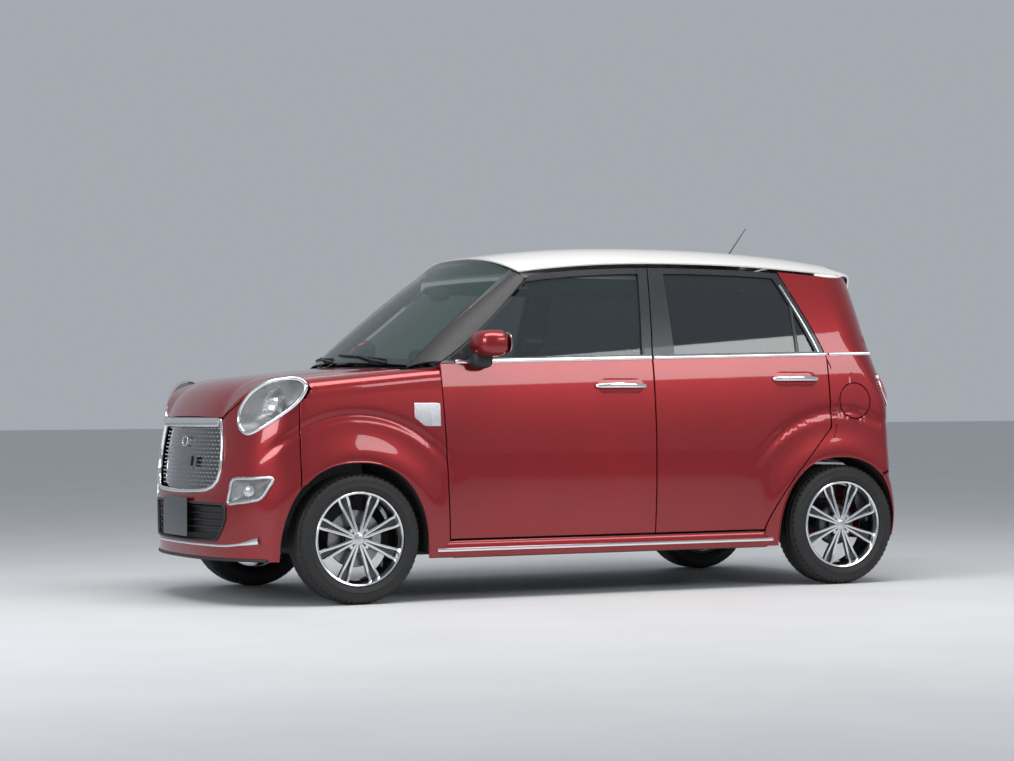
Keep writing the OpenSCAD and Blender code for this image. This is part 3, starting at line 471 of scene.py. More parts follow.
def clothFinish(name, dark, light, pitch):
    f = Finish(name, light, 0.90, Sheen_Weight=0.35, Sheen_Roughness=0.5)
    at = f.place()
    def rib(axis, scale):
        return f.node("ShaderNodeTexWave", {"wave_type": "BANDS", "bands_direction": axis},
                      {"Scale": scale, "Distortion": 0.6, "Detail": 1.0, "Vector": at}, "Fac")
    weave = rib("X", pitch)*rib("Z", pitch)*0.6 + rib("Y", pitch)*0.4
    f.put("Base Color", f.blend(dark, light, weave*0.7 + f.noise(60.0, 3)*0.3))
    f.put("Roughness", 0.94 - weave*0.12)
    return f.bumpBy(weave, 0.5, 0.0008).mat


seatCloth = clothFinish("seatCloth", (0.10, 0.085, 0.075), (0.27, 0.24, 0.215), 160.0)
carpetCloth = clothFinish("carpetCloth", (0.012, 0.012, 0.013), (0.040, 0.039, 0.038), 220.0)

plainFinish = {     # what the carried-over pieces are finished in
    "floor_pan": carpetCloth, "side_frames": pillarBlack, "cowl_panel": blackTrim, "wheel_arch_liners": linerFelt,
    "engine_block": castMetal, "front_subframe": chassisBlack, "rear_axle_beam": chassisBlack,
    "exhaust": exhaustSteel,
    "knuckle_left": castMetal, "knuckle_right": castMetal}
for nodeName, mat in plainFinish.items():
    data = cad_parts[nodeName].data
    data.materials.clear()
    data.materials.append(mat)
print("finishes made")

# floor, light and camera
view = {"place": (5.108, 10.422, 0.842), "yaw": 25.791, "pitch": 0.624, "roll": -0.334, "lens": 86.8,
        "sky": 0.44, "keyPower": 300, "fillPower": 130}
cam = bpy.data.cameras.new("camera")
cam.lens, cam.sensor_width, cam.clip_end = view["lens"], 36, 200
camOb = bpy.data.objects.new("camera", cam)
yaw, pitch, roll = (math.radians(view[k]) for k in ("yaw", "pitch", "roll"))
ahead = Vector((-math.sin(yaw)*math.cos(pitch), -math.cos(yaw)*math.cos(pitch), math.sin(pitch)))
side = ahead.cross(Vector((0, 0, 1))).normalized()
up = side.cross(ahead)
side2 = side*math.cos(roll) + up*math.sin(roll)
up2 = up*math.cos(roll) - side*math.sin(roll)
camOb.matrix_world = Matrix.Translation(view["place"]) @ Matrix((side2, up2, -ahead)).transposed().to_4x4()
bpy.context.scene.collection.objects.link(camOb)
bpy.context.scene.camera = camOb

world = bpy.data.worlds.new("studio")
world.use_nodes = True
world.node_tree.nodes["Background"].inputs[0].default_value = (0.86, 0.91, 1.0, 1)
world.node_tree.nodes["Background"].inputs[1].default_value = view["sky"]
bpy.context.scene.world = world
bpy.context.scene.view_settings.view_transform = "Standard"


def lamp(name, place, aim, size, sizeY, power, color=(1, 1, 1)):
    l = bpy.data.lights.new(name, "AREA")
    l.shape, l.size, l.size_y, l.energy, l.color = "RECTANGLE", size, sizeY, power, color
    o = bpy.data.objects.new(name, l)
    o.matrix_world = Matrix.Translation(place) @ (Vector(aim) - Vector(place)).to_track_quat("-Z",
            "Y").to_matrix().to_4x4()
    bpy.context.scene.collection.objects.link(o)


lamp("topSoftbox", (0.5, 1.6, 5.2), (0, 0, 0.8), 6.5, 2.6, view["keyPower"], (1, 0.98, 0.95))
lamp("frontSoftbox", (6.5, 2.5, 2.6), (1.2, 0, 0.7), 3.0, 2.0, view["fillPower"], (0.94, 0.97, 1))
lamp("sideSoftbox", (-3.5, 6.5, 3.4), (-0.3, 0.4, 0.7), 4.0, 1.6, view["fillPower"]*0.8)


def studioFloor():
    f = Finish("studioFloor", (0.62, 0.63, 0.64), 0.62)
    f.put("Base Color", f.blend((0.56, 0.57, 0.58), (0.66, 0.67, 0.68), f.noise(1.6, 4)))
    n, size, verts, faces = 24, 90000, [], []
    for i in range(n + 1):
        for j in range(n + 1):
            verts.append((mix(-size, size, i/n), mix(-size, size, j/n), -0.5))
    for i in range(n):
        for j in range(n):
            a = i*(n + 1) + j
            faces.append((a, a + n + 1, a + n + 2, a + 1))
    addMesh("studioFloor", verts, faces, f.mat)


studioFloor()
print("camera and light set")

# openings in the front
def closedCurve(points, n):     # smooth loop through points
    p, out = [np.array(q, float) for q in points], []
    m = len(p)
    for i in range(n):
        k, t = divmod(i*m/n, 1)
        a, b, c, d = (p[int(k + j) % m] for j in (-1, 0, 1, 2))
        out.append(0.5*(2*b + (c - a)*t + (2*a - 5*b + 4*c - d)*t*t + (3*b - a - 3*c + d)*t**3))
    return out


def makeCut(at, out, e1, loop, depth=90):       # a loop of 3-D points seen along out
    n = unit(out)
    e1 = unit(np.array(e1, float) - n*np.dot(n, e1))
    e2 = np.cross(n, e1)
    at = np.array(at, float)
    poly = [(float(np.dot(p - at, e1)), float(np.dot(p - at, e2))) for p in loop]
    return {"at": at, "n": n, "e1": e1, "e2": e2, "poly": poly, "depth": depth}


def flat(cut, p):
    d = np.array([p[0], abs(p[1]), p[2]]) - cut["at"]
    return float(d @ cut["e1"]), float(d @ cut["e2"]), float(d @ cut["n"])


def cutHit(cut, p):
    u, v, w = flat(cut, p)
    return abs(w) < cut["depth"] and inside((u, v), cut["poly"])


def cutSnap(cut, p):        # p moved onto the cut's edge
    u, v, w = flat(cut, p)
    best, poly = None, cut["poly"]
    for a, b in zip(poly, poly[1:] + poly[:1]):
        dx, dy = b[0] - a[0], b[1] - a[1]
        t = sat(((u - a[0])*dx + (v - a[1])*dy)/(dx*dx + dy*dy + 1e-9))
        q = (a[0] + dx*t, a[1] + dy*t)
        d = (q[0] - u)**2 + (q[1] - v)**2
        if best is None or d < best[0]: best = (d, q)
    if best[0] > 144: return p
    move = cut["e1"]*(best[1][0] - u) + cut["e2"]*(best[1][1] - v)
    s = 1 if p[1] >= 0 else -1
    return np.array([p[0] + move[0], p[1] + s*move[1], p[2] + move[2]])


def cutPanel(name, p, cuts, mat, body, slotName, thick=3, edge=2.5, mirror=False, nodes=(), sharp=32):
    p = rimmed(np.array(p, float), edge)
    h, w = p.shape[:2]
    mid = (p[:-1, :-1] + p[1:, 1:] + p[1:, :-1] + p[:-1, 1:])/4
    gone = np.zeros((h + 1, w + 1), bool)
    which = {}
    for c in cuts:
        for i in range(h - 1):
            for j in range(w - 1):
                if cutHit(c, mid[i, j]):
                    gone[i + 1, j + 1] = True
                    for di in (0, 1):
                        for dj in (0, 1): which[(i + di, j + dj)] = c
    for (i, j), c in which.items():
        if not gone[i:i + 2, j:j + 2].all() and 1 < i < h - 2 and 1 < j < w - 2:
            p[i, j] = cutSnap(c, p[i, j])
    n = gridNormals(p)
    q = p - n*thick
    for sl in ((0, slice(None)), (-1, slice(None)), (slice(None), 0), (slice(None), -1)):
        p[sl] = p[sl] - n[sl]*edge*0.8
    verts = np.concatenate([p.reshape(-1, 3), q.reshape(-1, 3)])
    k, faces = h*w, []
    def on(i, j): return 0 <= i < h - 1 and 0 <= j < w - 1 and not gone[i + 1, j + 1]
    for i in range(h - 1):
        for j in range(w - 1):
            if not on(i, j): continue
            a, b, c, d = i*w + j, (i+1)*w + j, (i+1)*w + j + 1, i*w + j + 1
            f = [(a, b, c, d), (d+k, c+k, b+k, a+k)]
            if not on(i, j-1): f.append((b, a, a+k, b+k))
            if not on(i, j+1): f.append((d, c, c+k, d+k))
            if not on(i-1, j): f.append((a, d, d+k, a+k))
            if not on(i+1, j): f.append((c, b, b+k, c+k))
            faces += f
    v, f = dropLoose([tuple(x) for x in verts], faces)
    if mirror: v, f = mirrorData(v, f)
    return settle(addMesh(name, v, f, mat, sharp=sharp), body, slotName, *nodes)


def onNose(y, z, d=0):
    return np.array(noseAt(noseA(y, z), z, d))


grille = {"outline": [(0, 796), (200, 796), (340, 795), (378, 790), (392, 760), (408, 715), (419, 670), (425, 620),
        (423, 575),
                      (408, 533), (376, 508), (330, 494), (260, 487), (130, 482), (0, 480)],
          "frame": 17, "dashPitch": (34, 17.5)}
lowerMouth = {"outline": [(0, 434), (300, 434), (440, 432), (462, 420), (462, 372), (440, 330), (400, 280),
        (385, 274), (200, 270), (0, 270)]}
fog = {"outline": [(512, 538), (600, 545), (672, 547), (662, 505), (638, 462), (600, 449), (540, 441), (487, 439),
        (496, 490)]}
headlamp = {"centre": (1486, 652, 853),
            "outline": [(1586, 501, 794), (1585, 521, 757), (1568, 562, 734), (1532, 615, 756), (1466, 672, 808),
            (1400, 712, 868),
                        (1364, 722, 930), (1385, 706, 962), (1432, 676, 968), (1490, 615, 955), (1545, 548, 908),
                        (1577, 508, 846)]}


def noseLoop(half, n=64, d=0):       # both halves of an outline given for y >= 0
    pts = []
    for (y1, z1), (y2, z2) in zip(half, half[1:]):
        k = max(1, int(math.hypot(y2 - y1, z2 - z1)/14))
        pts += [(mix(y1, y2, i/k), mix(z1, z2, i/k)) for i in range(k)]
    pts.append(half[-1])
    return [onNose(y, z, d) for y, z in pts]


def smoothPairs(points, n):
    return [(p[0], p[1]) for p in closedCurve([(y, z, 0) for y, z in points], n)]


centreX = np.array([noseX, 0, 600.0])
mouthHalf = noseLoop(grille["outline"])
grilleCut = makeCut(centreX, (1, 0, 0), (0, 1, 0), [np.array([noseX, -60,
        480.0])] + mouthHalf[::-1] + [np.array([noseX, -60, 796.0])], 200)
lowHalf = noseLoop(lowerMouth["outline"])
lowCut = makeCut(centreX, (1, 0, 0), (0, 1, 0), [np.array([noseX, -60, 270.0])] + lowHalf[::-1] + [np.array([noseX,
        -60, 434.0])], 200)
fogLoop = [onNose(y, z) for y, z in smoothPairs(fog["outline"], 48)]
fogAt = sum(fogLoop)/len(fogLoop)
fogOut = unit(np.array(noseAt(noseA(580, 490), 490)) - np.array(noseAt(noseA(580, 490), 490, 30)))
fogCut = makeCut(fogAt, fogOut, (0, 1, 0), fogLoop, 120)
lampLoop = closedCurve(headlamp["outline"], 60)
lampAt = np.array(headlamp["centre"], float)
lampOut = unit((0.80, 0.52, 0.33))
lampCut = makeCut(lampAt, lampOut, (-0.5, 0.3, 0.8), lampLoop, 120)


# outer panels
def fenderColumn(x, z0):      # from the arch or sill up over the shoulder to the bonnet seam
    ys = hoodSide(x) + car["gap"]
    zs = hoodZ(x, ys) - 2
    out, low = [], zs - 82
    for t in steps(0, 1, 30):
        z = mix(z0, low, t**0.9)
        out.append((x, sideY(x, z), z))
    for a in steps(0, pi/2, 12)[1:]:
        z = low + 82*math.sin(a)**0.7
        out.append((x, mix(ys, sideY(x, low), math.cos(a)**0.72), z))
    return out


def fenderGrid():
    zf = lambda z: doorF(max(267, min(1058, z))) + car["gap"]
    last = noseX - 308
    cols = [("flat", x) for x in steps(729, archFX - car["archRF"] - 2, 6)]
    end = pi - math.acos(((last - archFX)/car["archRF"])**(1/0.851))
    for a in steps(0, end, 52):
        x, z = archPt(archFX, car["archRF"], a)
        cols.append((z, x))
    out = []
    for k, (z0, x) in enumerate(cols):
        if z0 == "flat": z0 = car["sill"] + 5
        c = fenderColumn(x, z0)
        if k < 6:       # the rear edge follows the door's front edge
            f = 1 - k/5
            c = [(mix(p[0], zf(p[2]), f) if k < 6 else p[0], p[1], p[2]) for p in c]
            c = [(p[0], sideY(p[0], p[2]) if i <= 30 else p[1], p[2]) for i, p in enumerate(c)]
        out.append(c)
    return np.swapaxes(np.array(out), 0, 1)


frontFender = fenderGrid()
for side, flip in (("left", False), ("right", True)):
    cutPanel("front_fender_" + side, frontFender, [lampCut], bodyPaint, "car_body", "body_paint", mirror=flip,
             nodes=["front_fenders"] if not flip else [])


def seamZ(y): return hoodZ(hoodFront(y), y) - 6
def frontTop(y):
    y = abs(y)
    if y < 583: return min(seamZ(y), 929)
    return mix(929, 889, ((y - 583)/130)**0.8) if y < 713 else 889
def frontSkin():
    n, rows = 96, steps(190, 600, 52) + [600 + k for k in range(1, 43)]
    out = []
    for s in steps(-1, 1, 2*n):
        col = []
        for k, z0 in enumerate(rows):
            z = z0
            def aEnd(z):
                xe = max(noseX - 303, archFX + archX(min(z, 600), car["archRF"]))
                return noseEnd(min(noseX - 2, xe + lean(z)*max(0, math.cos(noseEnd(xe)))**0.5))
            if z0 > 600:
                t = (z0 - 600)/42
                y = abs(noseY(s*aEnd(600 + t*300), 600 + t*250))
                z = mix(600, frontTop(y), t)
            col.append(noseAt(s*aEnd(z), z))
        out.append(col)
    return out


cutPanel("front_bumper_skin", frontSkin(), [grilleCut, lowCut, fogCut, lampCut], bodyPaint, "car_body", "body_paint",
         nodes=["front_bumper"])


def cornerPatch():      # shoulder between the bonnet, the lamp and the fender
    out = []
    for s in steps(0, 1, 34):
        x = mix(noseX - 308, 1512, s)
        ys = hoodSide(x) + car["gap"]
        top = np.array([x, ys, hoodZ(x, ys) - 2])
        y = mix(abs(noseY(noseEnd(noseX - 308), 885)), 590, s)
        z = frontTop(y)
        low = np.array([noseX - 308, sideY(noseX - 308, z), z]) if s == 0 else onNose(y, z)
        if s == 0: low[2] = hoodZ(x, ys) - 84
        col = []
        for a in steps(0, pi/2, 16):
            c, d = math.cos(a)**0.72, math.sin(a)**0.7
            col.append([mix(top[0], low[0], c), mix(top[1], low[1], c), mix(low[2], top[2], d)])
        out.append(col)
    return np.swapaxes(np.array(out), 0, 1)


for side, flip in (("left", False), ("right", True)):
    cutPanel("lamp_shoulder_" + side, cornerPatch(), [lampCut], bodyPaint, "car_body", "body_paint", edge=1.0,
            mirror=flip)


def bonnetGrid():
    out = []
    for u in steps(0, 1, 44):
        u = 1 - (1 - u)**1.25
        row = []
        for v in steps(-1, 1, 60):
            y1 = v*hoodW
            x = mix(hoodBack + 105*(1 - v*v), hoodFront(y1), u)
            y = v*hoodSide(x)
            crown = 5*math.exp(-((abs(y) - 395 - 0.08*(1500 - x))/26)**2)*sat((x - 900)/160)
            row.append((x, y, hoodZ(x, y) + crown))
        out.append(row)
    return out


panel("bonnet_skin", bonnetGrid(), bodyPaint, "bonnet_lid", "body_paint", thick=9, nodes=["bonnet"])


def doorGrid(edgeR, edgeF, z0=267, z1=None):
    zs = steps(z0, 1058 - 8, 40)
    return [[(lambda x: (x, bodyY(x, rowZ(z, x)), rowZ(z, x)))(mix(edgeR(z), edgeF(z), s)) for s in steps(0, 1, 44)]
            for z in zs]


g2 = car["gap"]/2
pairPanel("front_door_panel", doorGrid(lambda z: split(z) + g2, doorF), bodyPaint, "door_front_{side}", "body_paint",
          thick=50, nodes=["front_door_{side}"])
pairPanel("rear_door_panel", doorGrid(lambda z: doorR(z) + car["gap"], lambda z: split(z) - g2), bodyPaint,
          "door_rear_{side}", "body_paint", thick=50, nodes=["rear_door_{side}"])


def wrapPt(w, z):
    x1 = tailC(z) + tailR(z)
    k = (x1 - w)/130
    return (w, bodyY(w, z), z) if k <= 0 else tailAt(mix(pi/2, math.radians(54), min(1, k)), z)
def cornerW(z): return tailC(z) + tailR(z) - 130


quarterIn = [0, 9, 16, 27, 39, 54, 71, 77, 81.5, 86.5, 89, 90.8, 92.2, 94, 96.3, 98.7, 101, 103.5, 106, 108.5,
             110.5, 112.5, 114.5, 116.5, 118.5, 121, 124, 127, 130]
quarterMid = [(-1278, 690), (-1290, 700), (-1302, 730), (-1310, 780), (-1317, 850), (-1326, 1040), (-1340, 1030),
              (-1356, 1022), (-1372, 1015), (-1388, 1010), (-1402, 1006), (-1416, 1002), (-1430, 999), (-1444, 996),
              (-1457, 990), (-1470, 978), (-1486, 955), (-1508, 920), (-1536, 860), (-1562, 785), (-1580, 710),
              (-1592, 630)]
quarterZs = [190, 267, 340, 430, 520, 620, 720, 744, 830, 940, 1050, 1074, 1150, 1240, 1330, 1430]


def quarterGrid():
    def topOf(w): return min(edgeZ(w), roofH(*wrapPt(w, 1462)[:2])) - 7
    tip = cornerW(topOf(-1500))
    def outer(j):       # j runs 0..28 over the column table
        if j <= 15:
            k = min(14, int(j))
            z = mix(quarterZs[k], quarterZs[k + 1], j - k)
            x = doorR(min(z, 1460))
            return x, rowZ(z, x)
        if j <= 16:
            z = mix(1430, 1460, j - 15)
            x = doorR(z)
            return x, mix(rowZ(1430, x), topOf(x), j - 15)
        if j <= 20:
            x = mix(doorR(1460), tip, (j - 16)/4)
            return x, topOf(x)
        zs = [topOf(tip), 1330, 1200, 1080, 970, 860, 760, 650, 545]
        k = min(7, int(j - 20))
        z = mix(zs[k], zs[k + 1], j - 20 - k)
        return cornerW(z), z
    cols = []
    for k in range(28):
        n = 5 if k < 12 else 3
        cols += [k + i/n for i in range(n)]
    cols.append(28)
    out = []
    for t in [s**1.25 for s in steps(0, 1, 44)]:
        row = []
        for j in reversed(cols):
            a = math.radians(table(j, list(zip(range(29), quarterIn))))
            p = np.array(archPt(archRX, car["archRR"], pi - a), float)
            q = np.array(outer(j), float)
            m = (p + q)/2
            if 5 < j < 28:
                mm = [(p + q)/2] + [np.array(v, float) for v in quarterMid]
                k = min(21, int(j - 5))
                m = mix(mm[k] if k else (np.array(archPt(archRX, car["archRR"],
                        pi - math.radians(54))) + np.array(outer(5)))/2,
                        mm[k + 1] if k + 1 < len(mm) else (p + q)/2, j - 5 - k)
            if j == 28: w = np.array([mix(p[0], q[0], t), mix(q[1], p[1], (1 - t)**2.3)])
            else: w = mix(p, m, 2*t) if t < 0.5 else mix(m, q, 2*t - 1)
            row.append(wrapPt(w[0], w[1]))
        out.append(row)
    return out


fuel = {"at": (tailX + 282, 863), "radius": 83}
fuelLoop = [np.array([fuel["at"][0] + fuel["radius"]*math.cos(a), 720, fuel["at"][1] + fuel["radius"]*math.sin(a)])
        for a in steps(0, 2*pi, 64)[:-1]]
fuelCut = makeCut((fuel["at"][0], 720, fuel["at"][1]), (0, 1, 0), (1, 0, 0),
        [p + (p - np.array([fuel["at"][0], 720, fuel["at"][1]]))*0.055 for p in fuelLoop], 90)
quarter = quarterGrid()
cutPanel("rear_quarter_left", quarter, [fuelCut], bodyPaint, "car_body", "body_paint", thick=4,
        nodes=["rear_quarters"])
cutPanel("rear_quarter_right", quarter, [], bodyPaint, "car_body", "body_paint", thick=4, mirror=True)


def roofGrid():
    out = []
    for s in steps(0, 1, 50):
        row = []
        for v in steps(-1, 1, 64):
            v = math.sin(v*pi/2)*0.35 + v*0.65
            x0 = 352 - 70*v*v
            x = mix(x0, tailX + 228 + 30*v*v, s)
            w = bodyY(min(x, 200), 1460) - 3 - 34*sat((-1100 - x)/370)**2
            row.append((x, v*w, roofH(x, v*w)))
        out.append(row)
    return out


panel("roof_skin", roofGrid(), roofPaint, "car_body", "roof_paint", thick=8, nodes=["roof_panel"])


def tailPt(v, z, d=0, cut=8):
    p = tailAt(math.radians(54), z)
    w = bodyY(tailC(z) + tailR(z), z)
    y = v*(p[1] - cut)
    q = tailAt(math.asin(min(1, (abs(y)/w)**1.3)), z)
    return [q[0] + d, y, z]


gate = {"low": 557, "glass": (1012, 1388), "glassV": 0.875, "top": 1440}     # glassV is a share of the half width


def gateGrid(z0, z1, n, d=0, v0=-1, v1=1):
    return [[tailPt(v, z, d) for v in steps(v0, v1, 56)] for z in steps(z0, z1, n)]


def gateHole(m): return gate["glass"][0] < m[2] < gate["glass"][1] and m[1] < gate["glassV"]*tailPt(1, m[2])[1]
panel("tailgate_skin", gateGrid(gate["low"], gate["top"], 80), bodyPaint, "rear_hatch", "body_paint", thick=30,
        holes=[gateHole], nodes=["tailgate"])
panel("tailgate_window", gateGrid(gate["glass"][0] - 6, gate["glass"][1] + 6, 24, 3, -0.89, 0.89),
      rearGlassTint, "rear_hatch", "dark_glass", thick=4, edge=1, nodes=["tailgate_glass"])


def spoilerGrid():
    rows = []
    for k in steps(0, 1, 5): rows.append([(tailPt(v, mix(1392, 1446, k))[0] - 3 - 20*k, tailPt(v, 1440)[1],
            mix(1392, 1446, k)) for v in steps(-1, 1, 48)])
    tip = [(tailPt(v, 1440)[0] - 24, tailPt(v, 1440)[1]) for v in steps(-1, 1, 48)]
    for k in steps(0, 1, 14)[1:]:
        row = []
        for x, y in tip:
            xe = tailX + 228 - 6 + 30*(y/540)**2
            xx = mix(x, xe, k)
            z = roofH(xx, y) - 8*(1 - k)**3
            row.append((xx, y, z))
        rows.append(row)
    return rows


panel("tailgate_spoiler", spoilerGrid(), roofPaint, "rear_hatch", "roof_paint", thick=7, sharp=50)


def roofCorner():       # closes the roof down to the quarter beside the spoiler
    def topOf(w): return min(edgeZ(w), roofH(*wrapPt(w, 1462)[:2])) - 4
    edge, tip, out = tailPt(1, 1440), cornerW(topOf(-1500)), []
    for k in steps(0, 1, 8):
        row = []
        for s in steps(1, 0, 40):
            low = wrapPt(mix(-1290, tip, s), topOf(mix(-1290, tip, s)))
            x = mix(-1290, edge[0] - 16, s)
            y = min(bodyY(x, 1460) - 6 - 34*sat((-1100 - x)/370)**2, edge[1] - 1)
            high = (x, y, roofH(x, y) - 1.5)
            row.append((mix(low[0], high[0], k), mix(low[1], high[1], k), mix(low[2], high[2], 1 - (1 - k)**2)))
        out.append(row)
    return out


pairPanel("roof_corner", roofCorner(), roofPaint, "car_body", "roof_paint", thick=5, edge=1)


def bumperAt(a, z):     # the corners get squarer towards the bottom
    p = mix(2.6, 1.3, sat((z - 330)/175))
    w = sideY(tailC(z) + tailR(z), z)
    return [tailC(z) + tailR(z)*(1 - max(0, math.cos(a))**(1/p)), sgn(a)*w*math.sin(abs(a))**(1/p), z]
def bumperEnd(x, z):        # the angle at which the bumper reaches x
    p = mix(2.6, 1.3, sat((z - 330)/175))
    return math.acos(sat(1 - (x - tailC(z))/tailR(z))**p)


def rearBumperGrid():
    out = []
    for z0 in steps(190, 545, 40):
        row = []
        for s in steps(-1, 1, 110):
            z1 = min(z0, 502)
            z = z0 if z0 < 505 else mix(z0, 504, abs(s)**5)
            row.append(bumperAt(s*bumperEnd(archRX - archX(z1, car["archRR"]), z1), z))
        out.append(row)
    return out


panel("rear_bumper_skin", rearBumperGrid(), bodyPaint, "car_body", "body_paint", thick=4, nodes=["rear_bumper"])


def sillGrid():
    return [[(x, y - 3*sat((x - 640)/120)**2*2, z) for x in steps(-930, 786, 60)]
            for y, z in ((700, 186), (707, 189), (711, 196), (713, 210), (712, 226), (709, 244), (707, 258))]


pairPanel("side_sill", sillGrid(), bodyPaint, "car_body", "body_paint", thick=3, sharp=50)
trim("sill_garnish", [(x, 713.5, 221) for x in steps(-950, 757, 40)], (0, 1, 0),
     [(-4, -9), (2, -9), (6.5, -6), (7, 0), (6.5, 6), (2, 9), (-4, 9)], chrome, "car_body", "rim_alloy", both=True)
print("outer panels made")


def noseOut(y, z): return unit(onNose(y, z) - onNose(y, z, 20))


def ringOf(half):       # outline points for y >= 0 made into a closed loop, with its outward directions
    left = half[::-1]
    pts = [(y, z) for y, z in left] + [(-y, z) for y, z in half[1:-1]]
    return [onNose(y, z) for y, z in pts], [noseOut(y, z) for y, z in pts]


def dense(half, step=13):
    pts = []
    for (y1, z1), (y2, z2) in zip(half, half[1:]):
        k = max(1, int(math.hypot(y2 - y1, z2 - z1)/step))
        pts += [(mix(y1, y2, i/k), mix(z1, z2, i/k)) for i in range(k)]
    return pts + [half[-1]]


# a tree that sets one copy of the incoming mesh on every point, or turns copies round the Y axis
def repeatTree(name, around):
    t = bpy.data.node_groups.new(name, "GeometryNodeTree")
    t.interface.new_socket("Geometry", in_out="INPUT", socket_type="NodeSocketGeometry")
    count = t.interface.new_socket("Count", in_out="INPUT", socket_type="NodeSocketInt")
    size = t.interface.new_socket("Size", in_out="INPUT", socket_type="NodeSocketVector")
    paint = t.interface.new_socket("Finish", in_out="INPUT", socket_type="NodeSocketMaterial")
    t.interface.new_socket("Geometry", in_out="OUTPUT", socket_type="NodeSocketGeometry")
    n, link = t.nodes, t.links.new
    gin, gout = n.new("NodeGroupInput"), n.new("NodeGroupOutput")
    inst = n.new("GeometryNodeInstanceOnPoints")
    real, setMat = n.new("GeometryNodeRealizeInstances"), n.new("GeometryNodeSetMaterial")
    if around:
        line, idx, div, mul, xyz = (n.new(k) for k in ("GeometryNodeMeshLine", "GeometryNodeInputIndex",
                "ShaderNodeMath",
                                                       "ShaderNodeMath", "ShaderNodeCombineXYZ"))
        line.inputs["Offset"].default_value = (0, 0, 0)
        link(gin.outputs["Count"], line.inputs["Count"])
        div.operation, mul.operation = "DIVIDE", "MULTIPLY"
        link(idx.outputs[0], div.inputs[0]); link(gin.outputs["Count"], div.inputs[1])
        link(div.outputs[0], mul.inputs[0]); mul.inputs[1].default_value = 2*pi
        link(mul.outputs[0], xyz.inputs["Y"])
        link(line.outputs[0], inst.inputs["Points"])
        link(gin.outputs["Geometry"], inst.inputs["Instance"])
        link(xyz.outputs[0], inst.inputs["Rotation"])
    else:
        cube, attr, turn = (n.new(k) for k in ("GeometryNodeMeshCube", "GeometryNodeInputNamedAttribute",
                                               "FunctionNodeAlignRotationToVector"))
        attr.data_type = "FLOAT_VECTOR"; attr.inputs["Name"].default_value = "out"
        turn.axis, turn.pivot_axis = "X", "Z"
        link(gin.outputs["Size"], cube.inputs["Size"])
        link(attr.outputs["Attribute"], turn.inputs["Vector"])
        link(gin.outputs["Geometry"], inst.inputs["Points"])
        link(cube.outputs[0], inst.inputs["Instance"])
        link(turn.outputs[0], inst.inputs["Rotation"])
    link(inst.outputs[0], real.inputs[0]); link(real.outputs[0], setMat.inputs["Geometry"])
    link(gin.outputs["Finish"], setMat.inputs["Material"]); link(setMat.outputs[0], gout.inputs[0])
    return t, {"count": count.identifier, "size": size.identifier, "paint": paint.identifier}


treeAround, treeAroundIds = repeatTree("turned_copies", True)
treePoints, treePointsIds = repeatTree("copies_on_points", False)


def bake(name, me, tree, ids, count, size, mat):        # the evaluated result as plain verts and faces, in millimetres
    ob = bpy.data.objects.new(name + "_base", me)
    bpy.context.scene.collection.objects.link(ob)
    m = ob.modifiers.new("repeat", "NODES")
    m.node_group = tree
    m[ids["count"]], m[ids["size"]], m[ids["paint"]] = count, size, mat
    ev = ob.evaluated_get(bpy.context.evaluated_depsgraph_get())
    got = bpy.data.meshes.new_from_object(ev)
    v = [tuple(c*1000 for c in p.co) for p in got.vertices]
    f = [tuple(q.vertices) for q in got.polygons]
    bpy.data.objects.remove(ob); bpy.data.meshes.remove(me); bpy.data.meshes.remove(got)
    return v, f


def turned(name, verts, faces, count, mat):
    me = bpy.data.meshes.new(name + "_src")
    me.from_pydata([tuple(c*0.001 for c in v) for v in verts], [], faces)
    return bake(name, me, treeAround, treeAroundIds, count, (0, 0, 0), mat)


def dashes(name, pts, outs, size, mat):
    me = bpy.data.meshes.new(name + "_src")
    me.from_pydata([tuple(c*0.001 for c in p) for p in pts], [], [])
    at = me.attributes.new("out", "FLOAT_VECTOR", "POINT")
    for i, o in enumerate(outs): at.data[i].vector = tuple(o)
    return bake(name, me, treePoints, treePointsIds, 1, tuple(c*0.001 for c in size), mat)


# grilles
pts, outs = ringOf(dense(grille["outline"]))
trim("grille_frame", pts, outs, roundOutline(22, grille["frame"], 14), chrome, "car_body", "rim_alloy", closed=True)
top = [(y, 780) for y in steps(-368, 368, 60)]
trim("grille_top_bar", [onNose(y, z, -2) for y, z in top], [noseOut(y, z) for y, z in top],
        roundOutline(20, 34, 16, 3.2),
     chrome, "car_body", "rim_alloy")
panel("grille_mesh", [[onNose(y, z, 24) for y in steps(-452, 452, 60)] for z in steps(474, 800, 24)], glossBlack,
        "car_body",
      "black_trim", nodes=["front_grille"])
spots = []
for i in range(15):
    z = 512 + i*grille["dashPitch"][1]
    for k in range(-13, 14):
        y = (k + (0.5 if i % 2 else 0))*grille["dashPitch"][0]
        if inside((abs(y) + 14, z), [(0, 500)] + [(y0 - 10, z0) for y0,
                z0 in reversed(grille["outline"])] + [(0, 762)]) and z < 760 \
                and math.hypot(y/1.2, z - 700) > 34 and math.hypot(y - 128, z - 613) > 34:
            spots.append((y, z))
settle(addMesh("grille_dashes", *dashes("grille_dashes", [onNose(y, z, 19) for y, z in spots],
        [noseOut(y, z) for y, z in spots],
               (7, 15, 5), satinSilver), satinSilver), "car_body", "rim_alloy")
pts, outs = ringOf(dense(lowerMouth["outline"]))
trim("lower_grille_frame", pts, outs, roundOutline(14, 11, 12), blackTrim, "car_body", "black_trim", closed=True)
panel("lower_grille_back", [[onNose(y, z, 26) for y in steps(-480, 480, 60)] for z in steps(262, 442, 14)], blackTrim,
      "car_body", "black_trim")
